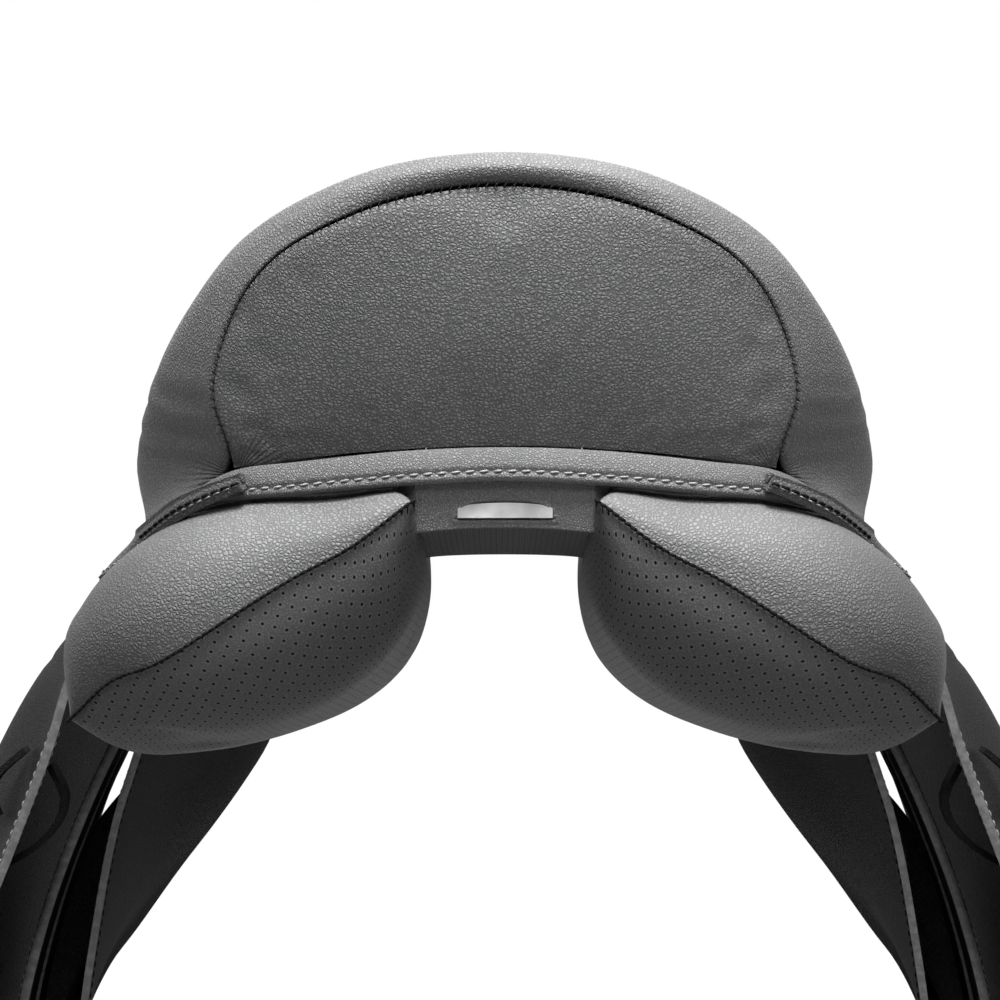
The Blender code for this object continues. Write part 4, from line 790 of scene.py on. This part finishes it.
along_at = 0.45 * eased(110) + 0.55 * even(110) ** 1.25
across_at = 0.4 * eased(60) + 0.6 * even(60)
upper = panel_sheet(False, along_at, across_at)
lower = panel_sheet(True, along_at, across_at)
for side_name, flip in SIDES:
    bag, edge = closed_bag("panel_leather_" + side_name, upper, lower, [GUSSET_HIDE, SOLE_HIDE], flip)
    settle(bag, edge, pressure=4.0, slack=0.0, most=2.2)
    bag.modifiers.new("smooth", "SUBSURF").render_levels = 1
    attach(bag, "saddle")
    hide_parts("panel_" + side_name, "gusset_" + side_name, "air_cushion_front_" + side_name,
                "air_cushion_rear_" + side_name)

    rim = np.concatenate([upper[-1:0:-1, 0], upper[0, :-1], upper[:-8, -1]]) * flip
    outward = rim - PANEL_MIDDLE * flip
    outward[:, 1] = np.minimum(rim[:, 1] - SEAM_TURNS_AT, 0.0) * 2.0
    outward = unit(outward)
    sew("panel_seam_stitches_" + side_name, rim + outward * SEAM_STANDS, outward, PANEL_SEWING, DARK_THREAD,
        "saddle")


# Channel lining. A punched leather lies along the roof of the channel between the panels, and
# is held by the panels' inner edges and the two facings.

LINING_ROWS = [(-227.6, (34.3, 13.0, 11.0)), (-180, (34.5, 9.0, 7.0)), (-100, (34.6, 3.4, 1.4)),
               (-40, (34.8, 0.4, -1.6)), (0, (35.0, 0.0, -2.0)), (50, (36.0, 6.0, 1.0)),
               (100, (37.8, 22.0, 9.0)), (150, (39.6, 46.0, 17.0)), (190, (41.0, 68.0, 24.0)),
               (209, (41.6, 77.0, 27.0))]
LINING_BACK = -230.5
# Its punched holes get painted shade inside and a painted highlight round them.
LINING_HIDE = leather("lining_hide", (0.022, 0.022, 0.023), (0.05, 0.05, 0.051), 0.0011, 0.0001, 0.75,
                      0.15, dots=(0.0046, 0.0005))

y = np.linspace(LINING_BACK, LINING_ROWS[-1][0], 90)
half, crown, edge = smooth(*zip(*LINING_ROWS), y).T
turn = np.linspace(-math.pi / 2, math.pi / 2, 41)
x = half[:, None] * np.sin(turn)
z = edge[:, None] + (crown - edge)[:, None] * np.cos(turn)
lining = skin("channel_lining_leather", np.stack([x, y[:, None] + 0 * x, z], axis=-1), (0, 0, -1),
              [LINING_HIDE, CUT_EDGE], THIN_LEATHER)
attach(lining, "saddle")
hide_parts("channel_lining")


# Flaps. One piece of firm leather hangs from the tree on each side and is creased at the fold,
# so that it lifts for the girth. Its edge is cut square, painted, and stitched just inside.

HULL_Y = [-215, -120, -60, 20, 110, 190, 240]
HULL_Z = [80, 55, 30, 10, -10, -30, -50, -80, -120, -170, -230, -330, -440]
HULL_X = [
    [60, 80, 107, 141, 160, 172, 181, 192, 202, 212, 220, 226, 226],
    [62, 84, 110, 142, 163, 177, 187, 197, 209, 222, 234, 244, 244],
    [64, 86, 110, 140, 163, 178, 189, 199, 215, 234, 247, 257, 257],
    [60, 78, 101, 133, 164, 191, 208, 226, 243, 254, 261, 267, 267],
    [62, 84, 110, 136, 162, 184, 203, 219, 238, 252, 260, 267, 267],
    [64, 85, 108, 127, 147, 166, 182, 199, 217, 233, 246, 256, 256],
    [58, 76, 96, 113, 131, 149, 165, 183, 202, 219, 233, 244, 244],
]
HULL = (HULL_Y, HULL_Z, HULL_X)
FLAP_EDGES = [(-48, -84, 228), (-120, -76, 236), (-200, -66, 238), (-280, -55, 233), (-350, -38, 218),
              (-395, -14, 196), (-420, 18, 168), (-432, 50, 135)]
HEAD_TOP = [(-84, 20), (-20, 26.5), (22, 31), (58, 43.5), (123, 64), (174, 80), (192, 76)]
FLAP_OUT = np.array([1.0, 0.0, 0.2])
SIDEWAYS = np.array([1.0, 0.0, 0.0])
FLAP_LEATHER = 4.0
FLAP_INSET = 4.5
CREASE_Z, CREASE_WIDTH, CREASE_DEEP = -49.0, 2.2, 0.7
EDGE_SEWING = (4.6, 3.4, 0.8, 0.0)
FLAP_HIDE = leather("flap_hide", (0.004, 0.004, 0.004), (0.026, 0.026, 0.027), 0.0014, 0.0003, 0.6, 0.06)


def side_x(y, z, table):
    """Half width at each y and z, from a table of runs down the side."""
    rows_y, rows_z, rows_x = table
    runs = np.array([smooth(rows_z, row, z.ravel()) for row in rows_x])
    shares = smooth(rows_y, np.eye(len(rows_y)), y.ravel())
    return np.einsum("kj,jk->k", shares, runs).reshape(y.shape)


def on_side(y, z, table, outward, lift=0.0):
    """Points of the right side at each y and z on the face of a table, raised off it by lift."""
    grid = np.stack([side_x(y, z, table), y, z], axis=-1)
    return grid + normals_of(grid, outward) * lift


def leaf_rows(edges, down, share):
    """The y and z of a leaf between its rear and front edges, which are listed as (z, y, y)."""
    heights, rears, fronts = zip(*edges)
    z = mix(heights[0], heights[-1], down)
    y = mix(smooth(heights, rears, z)[:, None], smooth(heights, fronts, z)[:, None], share)
    return y, z[:, None] + 0 * y


def down_to_foot(level, count, first):
    """Shares of the way down a leaf, evenly spaced to level and closer at the round foot."""
    foot = mix(level, 1.0, np.sin(np.linspace(first, np.pi / 2, 12)))
    return np.concatenate([np.linspace(0.0, level, count), foot])


def flat_size(grid):
    """The longest runs across and down a grid in metres, and its area in square metres."""
    down, across = np.diff(grid, axis=0), np.diff(grid, axis=1)
    area = float(np.sum(np.linalg.norm(np.cross(down[:, :-1], across[:-1]), axis=2))) * TO_METRES ** 2
    width, length = (float(np.max(arc(grid, axis))) * TO_METRES for axis in (1, 0))
    return (width, length), area


def leaf_of(name, grid, outward, looks, thickness):
    """A leaf of firm leather whose cut edge is slightly rounded."""
    leaf = skin(name, grid, outward, looks, thickness)
    bevel = leaf.modifiers.new("edge", "BEVEL")
    bevel.width = 0.0006
    bevel.segments = 2
    bevel.angle_limit = math.radians(50)
    return leaf


def edge_line(grid, top, middle, lean, inset, table):
    """A run inside the cut edge, from row top at the back round the foot to the front. It is
    moved by inset towards middle, and its sides follow middle's height only by the share lean.
    """
    edge = np.concatenate([grid[top:-1, 0], grid[-1], grid[-2:top:-1, -1]])
    inward = middle - edge
    inward[:, 0] = 0.0
    beside = len(grid) - top - 2
    inward[:beside, 2] *= lean
    inward[-beside:, 2] *= lean
    line = edge + unit(inward) * inset
    line[:, 0] = side_x(line[:, 1], line[:, 2], table)
    return line


def sew_through(kind, side_name, line, under, flip, yarn, body):
    """Stitches on both faces of a leaf, whose inner face lies under the line by a given depth."""
    for face_name, sink, outward in (("outer", 0.05, 1), ("inner", -under, -1)):
        sew("%s_stitches_%s_%s" % (kind, face_name, side_name), (line + SIDEWAYS * sink) * flip,
            SIDEWAYS * outward * flip, EDGE_SEWING, yarn, body)


share = even(76)
head_down = even(26)[:-1, None]
fold_z, fold_back, fold_front = FLAP_EDGES[0]
head_y = mix(HEAD_TOP[0][0], HEAD_TOP[-1][0], share)
y_head = mix(head_y, mix(fold_back, fold_front, share), head_down)
z_head = mix(smooth(*zip(*HEAD_TOP), head_y), fold_z, head_down)
y_low, z_low = leaf_rows(FLAP_EDGES, down_to_foot(0.94, 84, 0.05), share)
y, z = np.concatenate([y_head, y_low]), np.concatenate([z_head, z_low])
flap_grid = on_side(y, z, HULL, FLAP_OUT)
crease = hump(flap_grid[:, :, 2], CREASE_Z, CREASE_WIDTH) * CREASE_DEEP
flap_grid = flap_grid - normals_of(flap_grid, FLAP_OUT) * crease[:, :, None]
flat, area = flat_size(flap_grid)
line = edge_line(flap_grid, len(head_down) + 6, (0.0, 75.0, -190.0), 0.15, FLAP_INSET, HULL)
for side_name, flip in SIDES:
    body = "flap_" + side_name
    leaf = leaf_of("flap_leather_" + side_name, flap_grid * flip, FLAP_OUT * flip, [FLAP_HIDE, CUT_EDGE],
                   FLAP_LEATHER)
    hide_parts("flap_head_" + side_name, "flap_" + side_name)
    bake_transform(leaf)
    sew_through("flap", side_name, line, FLAP_LEATHER + 0.05, flip, GREY_THREAD, body)


# Skirts. A firm leather hangs over each stirrup bar and lifts to reach it. Its tail runs back,
# laps over the end of the cantle band, and is sewn down there along a raised edge.

SKIRT_TOP = [(-155, 10), (-90, 20), (-20, 27.3), (22, 31), (58, 43.5), (123, 64), (174, 80), (188, 77)]
SKIRT_FOOT = [(-155, -10), (-122, -14), (-90, -16), (-40, -16), (18, -16), (60, -24), (100, -28), (140, -18),
              (170, 8), (182, 38), (188, 60)]
TAIL_END = [((103.5, -226.0, 34.6), (102.5, -227.6, 27.6)), ((116.5, -218.5, 30.6), (115.0, -221.0, 22.6)),
            ((130.4, -206.0, 25.0), (129.5, -208.5, 15.6)), ((141.2, -189.5, 17.6), (142.0, -191.0, 7.4)),
            ((148.4, -171.5, 12.6), (152.6, -171.0, -0.5))]
SKIRT_HIDE = leather("skirt_hide", (0.03, 0.03, 0.03), (0.15, 0.15, 0.152), 0.0014, 0.0003, 0.5, 0.15)
SKIRT_OUT = np.array([1.0, 0.0, 0.4])
SKIRT_LEATHER = 4.0
SKIRT_LIFT = SKIRT_LEATHER + 0.8
BEAD_AT, BEAD_WIDE, BEAD_HIGH = 0.1, 0.07, 0.9
BEAD_FADES = (7.0, 9.0)
FOOT_INSET = 3.2
FOOT_SEWING = (4.6, 3.4, 0.7, 0.0)
TAIL_BULGE = np.array([1.0, -0.8, 0.0])
TAIL_ROW_AT = 0.55
TAIL_SEWING = (4.6, 4.8, 1.4, 0.0)

down = even(22)
y = np.linspace(SKIRT_TOP[0][0], SKIRT_TOP[-1][0], 28)
z = mix(smooth(*zip(*SKIRT_TOP), y)[:, None], smooth(*zip(*SKIRT_FOOT), y)[:, None], down)
main = on_side(y[:, None] + 0 * z, z, HULL, FLAP_OUT, SKIRT_LIFT)
tail = np.array(TAIL_END)
tail = mix(tail[:, :1], tail[:, 1:], down[:, None]) + TAIL_BULGE * np.sin(np.pi * down)[:, None]
rows = np.concatenate([tail, main])
fine = np.linspace(0.0, len(rows) - 1.0, 176)
skirt_grid = spread(rows, fine)
bead = hump(down, BEAD_AT, BEAD_WIDE) * BEAD_HIGH * (1 - rising(fine, *BEAD_FADES))[:, None]
skirt_grid = skirt_grid + normals_of(skirt_grid, SKIRT_OUT) * bead[..., None]
flat, area = flat_size(skirt_grid)
out = normals_of(skirt_grid, SKIRT_OUT)
reach = arc(skirt_grid, 1)[:, -1]
run = np.arange(len(fine))
skirt_rows = (("foot", 1.0 - FOOT_INSET / reach, slice(0, len(fine) - 6), FOOT_SEWING, GREY_THREAD),
              ("tail", TAIL_ROW_AT + 0 * reach, slice(0, 20), TAIL_SEWING, DARK_THREAD))

for side_name, flip in SIDES:
    body = "skirt_" + side_name
    leaf = leaf_of("skirt_leather_" + side_name, skirt_grid * flip, SKIRT_OUT * flip,
                   [SKIRT_HIDE, SKIRT_HIDE], SKIRT_LEATHER)
    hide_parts("skirt_" + side_name, "skirt_tail_" + side_name)
    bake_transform(leaf)
    for row_name, share, kept, sewing, yarn in skirt_rows:
        index = np.clip(share * (len(down) - 1), 0, len(down) - 1.001)
        low = index.astype(int)
        part = (index - low)[:, None]
        face = out[run, low]
        line = mix(skirt_grid[run, low], skirt_grid[run, low + 1], part) + face * 0.1
        thread = stitches("skirt_stitches_%s_%s" % (row_name, side_name), line[kept] * flip,
                          face[kept] * flip, sewing, yarn)
        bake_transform(thread)


# Sweat flaps. A softer leather under the straps keeps them off the horse. It hangs from the
# outer seam of the panel, and its edge is cut, painted grey and stitched.

SWEAT_Y = [-20, 80, 180, 215]
SWEAT_Z = [-50, -66, -80, -95, -114, -136, -159, -191, -207, -240, -280, -330, -410]
SWEAT_X = [
    [147.3, 155.5, 162, 167, 173, 178, 182, 187, 189, 192, 194, 195, 194],
    [132, 137, 142, 149, 158, 167, 177, 190, 197, 206, 213, 217, 217],
    [113, 116, 119, 124, 136, 152, 170, 194, 206, 222, 232, 238, 238],
    [108, 111, 114, 119, 131, 147, 165, 188, 200, 215, 225, 231, 231],
]
SWEAT = (SWEAT_Y, SWEAT_Z, SWEAT_X)
SWEAT_EDGES = [(-54, -20, 192), (-120, -24, 206), (-200, -26, 212), (-280, -20, 206), (-340, -4, 188),
               (-380, 24, 162), (-400, 56, 128)]
SWEAT_LEATHER = 3.6
SWEAT_INSET = 4.0
SWEAT_HIDE = leather("sweat_flap_hide", (0.016, 0.016, 0.016), (0.046, 0.046, 0.047), 0.0012, 0.00012, 0.72,
                     0.02)
SWEAT_EDGE = plain_finish("sweat_flap_edge", (0.16, 0.16, 0.162), 0.45, scale=300.0)

y, z = leaf_rows(SWEAT_EDGES, down_to_foot(0.93, 70, 0.06), even(60))
sweat_grid = on_side(y, z, SWEAT, SIDEWAYS)
flat, area = flat_size(sweat_grid)
line = edge_line(sweat_grid, 4, (0.0, 92.0, -190.0), 0.12, SWEAT_INSET, SWEAT)
for side_name, flip in SIDES:
    leaf = leaf_of("sweat_leather_" + side_name, sweat_grid * flip, SIDEWAYS * flip,
                   [SWEAT_HIDE, SWEAT_EDGE], SWEAT_LEATHER)
    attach(leaf, "saddle")
    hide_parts("sweat_flap_" + side_name)
    sew_through("sweat", side_name, line, SWEAT_LEATHER + 0.1, flip, DARK_THREAD, "saddle")


# Knee blocks. A firm foam block under each flap is covered with smooth leather and stuck on the
# sweat flap. It fills the room under the flap and thins out below.

BLOCK_Y = (152.0, 200.0)
BLOCK_Z = (-86.0, -300.0)
BLOCK_BOW = 6.0
BLOCK_GLUE = 0.9
BLOCK_FILL = 0.82
across = eased(30)
down = eased(60)[:, None]
y = mix(*BLOCK_Y, across) + BLOCK_BOW * np.sin(np.pi * down)
z = mix(*BLOCK_Z, down) + 0 * across
base = on_side(y, z, SWEAT, SIDEWAYS, BLOCK_GLUE)
full = np.sin(np.pi * across) ** 0.5 * np.sin(np.pi * (0.02 + 0.96 * down)) ** 0.4
room = side_x(y, z, HULL) - FLAP_LEATHER - base[:, :, 0]
block = base + SIDEWAYS * (BLOCK_FILL * room * full)[:, :, None]
block[[0, -1]] = base[[0, -1]]
block[:, [0, -1]] = base[:, [0, -1]]
for side_name, flip in SIDES:
    pad, _ = closed_bag("knee_block_leather_" + side_name, block, base, [SEAT_HIDE, SEAT_HIDE], flip)
    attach(pad, "saddle")
    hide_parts("knee_block_" + side_name)


# Girth straps and keepers. The straps are doubled strap leather with a row of stitches along
# either edge, sewn to the webs at the top. The keepers are loops of the same leather.

STRAP_PATH = [(106.2, 8.1), (116.2, -4.4), (130.5, -18.5), (145, -36), (161, -58), (178, -87), (193, -120),
              (207, -158), (218, -200), (225, -245), (228, -290), (228, -402.8), (228, -478)]
STRAP_AT = (("rear", 8.0), ("front", 56.0))
STRAP_HALF = 13.0
STRAP_INSET = 3.2
STRAP_LAYERS = (0.4, 1.6, 3.2, 4.6)
PAINT_OUT, PAINT_BULGE = 0.12, 0.35
STRAP_SEWING = (4.2, 3.0, 0.7, 0.0)
STRAP_HIDE = leather("strap_hide", (0.004, 0.004, 0.004), (0.016, 0.016, 0.017), 0.0016, 0.0002, 0.6, 0.03)
STRAP_EDGE = plain_finish("strap_edge", (0.1, 0.1, 0.1), 0.45, scale=300.0)

for side_name, flip in SIDES:
    for place, middle in STRAP_AT:
        body = "strap_%s_%s" % (place, side_name)
        dress("girth_strap_%s_%s" % (place, side_name), STRAP_HIDE)
        path = np.array([(x, middle, z) for x, z in STRAP_PATH], dtype=float)
        run = spread(path, np.linspace(1.0, 12.0, 240))
        step = np.gradient(run, axis=0)
        face = unit(np.stack([-step[:, 2], 0 * step[:, 2], step[:, 0]], axis=1))
        for edge_name, hand in (("back", -1), ("fore", 1)):
            side_y = np.array([0.0, hand * (STRAP_HALF + PAINT_OUT), 0.0])
            cut = np.stack([run + side_y - face * sink for sink in STRAP_LAYERS], axis=1)
            cut[:, 1:3, 1] += hand * PAINT_BULGE
            paint = skin("strap_edge_%s_%s_%s" % (place, edge_name, side_name), cut * flip, (0, hand, 0),
                         [STRAP_EDGE])
            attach(paint, body)
            line = run + np.array([0.0, hand * (STRAP_HALF - STRAP_INSET), 0.0]) + face * 0.05
            sew("strap_stitches_%s_%s_%s" % (place, edge_name, side_name), line[:-6] * flip,
                face[:-6] * flip, STRAP_SEWING, GREY_THREAD, body)
    for part in ("keeper_outer_", "keeper_inner_", "dee_tab_"):
        dress(part + side_name, STRAP_HIDE)


# Pommel, tree and fittings. The facing of the arch is leather like the flaps. The tree is moulded
# nylon, its plate and bars are forged and polished steel, and the webs are woven nylon tape.

TREE_NYLON = plain_finish("tree_nylon", (0.03, 0.031, 0.033), 0.5, scratch=0.0001, scale=90.0)
FORGED = plain_finish("forged_steel", (0.36, 0.36, 0.37), 0.32, metallic=1.0, scratch=0.00005, scale=160.0)
POLISHED = plain_finish("polished_steel", (0.55, 0.55, 0.56), 0.16, metallic=1.0, scale=260.0)
STUD = plain_finish("stud_black", (0.018, 0.018, 0.018), 0.22, scale=200.0)
TAPE_DARK = (0.2, 0.19, 0.17, 1.0)
TAPE_LIGHT = (0.52, 0.5, 0.46, 1.0)


def woven_tape(name):
    """Nylon tape: warp and weft stand up in turn, with some dust between them."""
    look, ink = new_look(name)
    warp, weft = (ink.node("TexWave", {"Vector": ink.spot(), "Scale": scale}, wave_type="BANDS",
                           bands_direction=axis) for scale, axis in ((380.0, "Y"), (260.0, "X")))
    cross = warp.maths("MAXIMUM", weft)
    dust = ink.node("TexNoise", {"Vector": ink.spot(), "Scale": 60.0, "Detail": 4.0})
    tape = (cross * 0.7 + dust * 0.3).between(TAPE_DARK, TAPE_LIGHT)
    return finished(look, ink, cross * 0.0003, {"Base Color": tape, "Roughness": 0.9})


WEB_TAPE = woven_tape("web_tape")
dress("pommel_facing", FLAP_HIDE)
dress("tree", TREE_NYLON)
dress("gullet_plate", FORGED)
dress("girth_web_front", WEB_TAPE)
dress("girth_web_rear", WEB_TAPE)
for side_name, _ in SIDES:
    for part, finish in (("gullet_screw_", POLISHED), ("stirrup_bar_", POLISHED), ("bar_catch_", POLISHED),
                         ("bar_rivet_front_", FORGED), ("bar_rivet_rear_", FORGED), ("dee_ring_", POLISHED),
                         ("flap_stud_", STUD)):
        dress(part + side_name, finish)


bpy.context.view_layer.update()
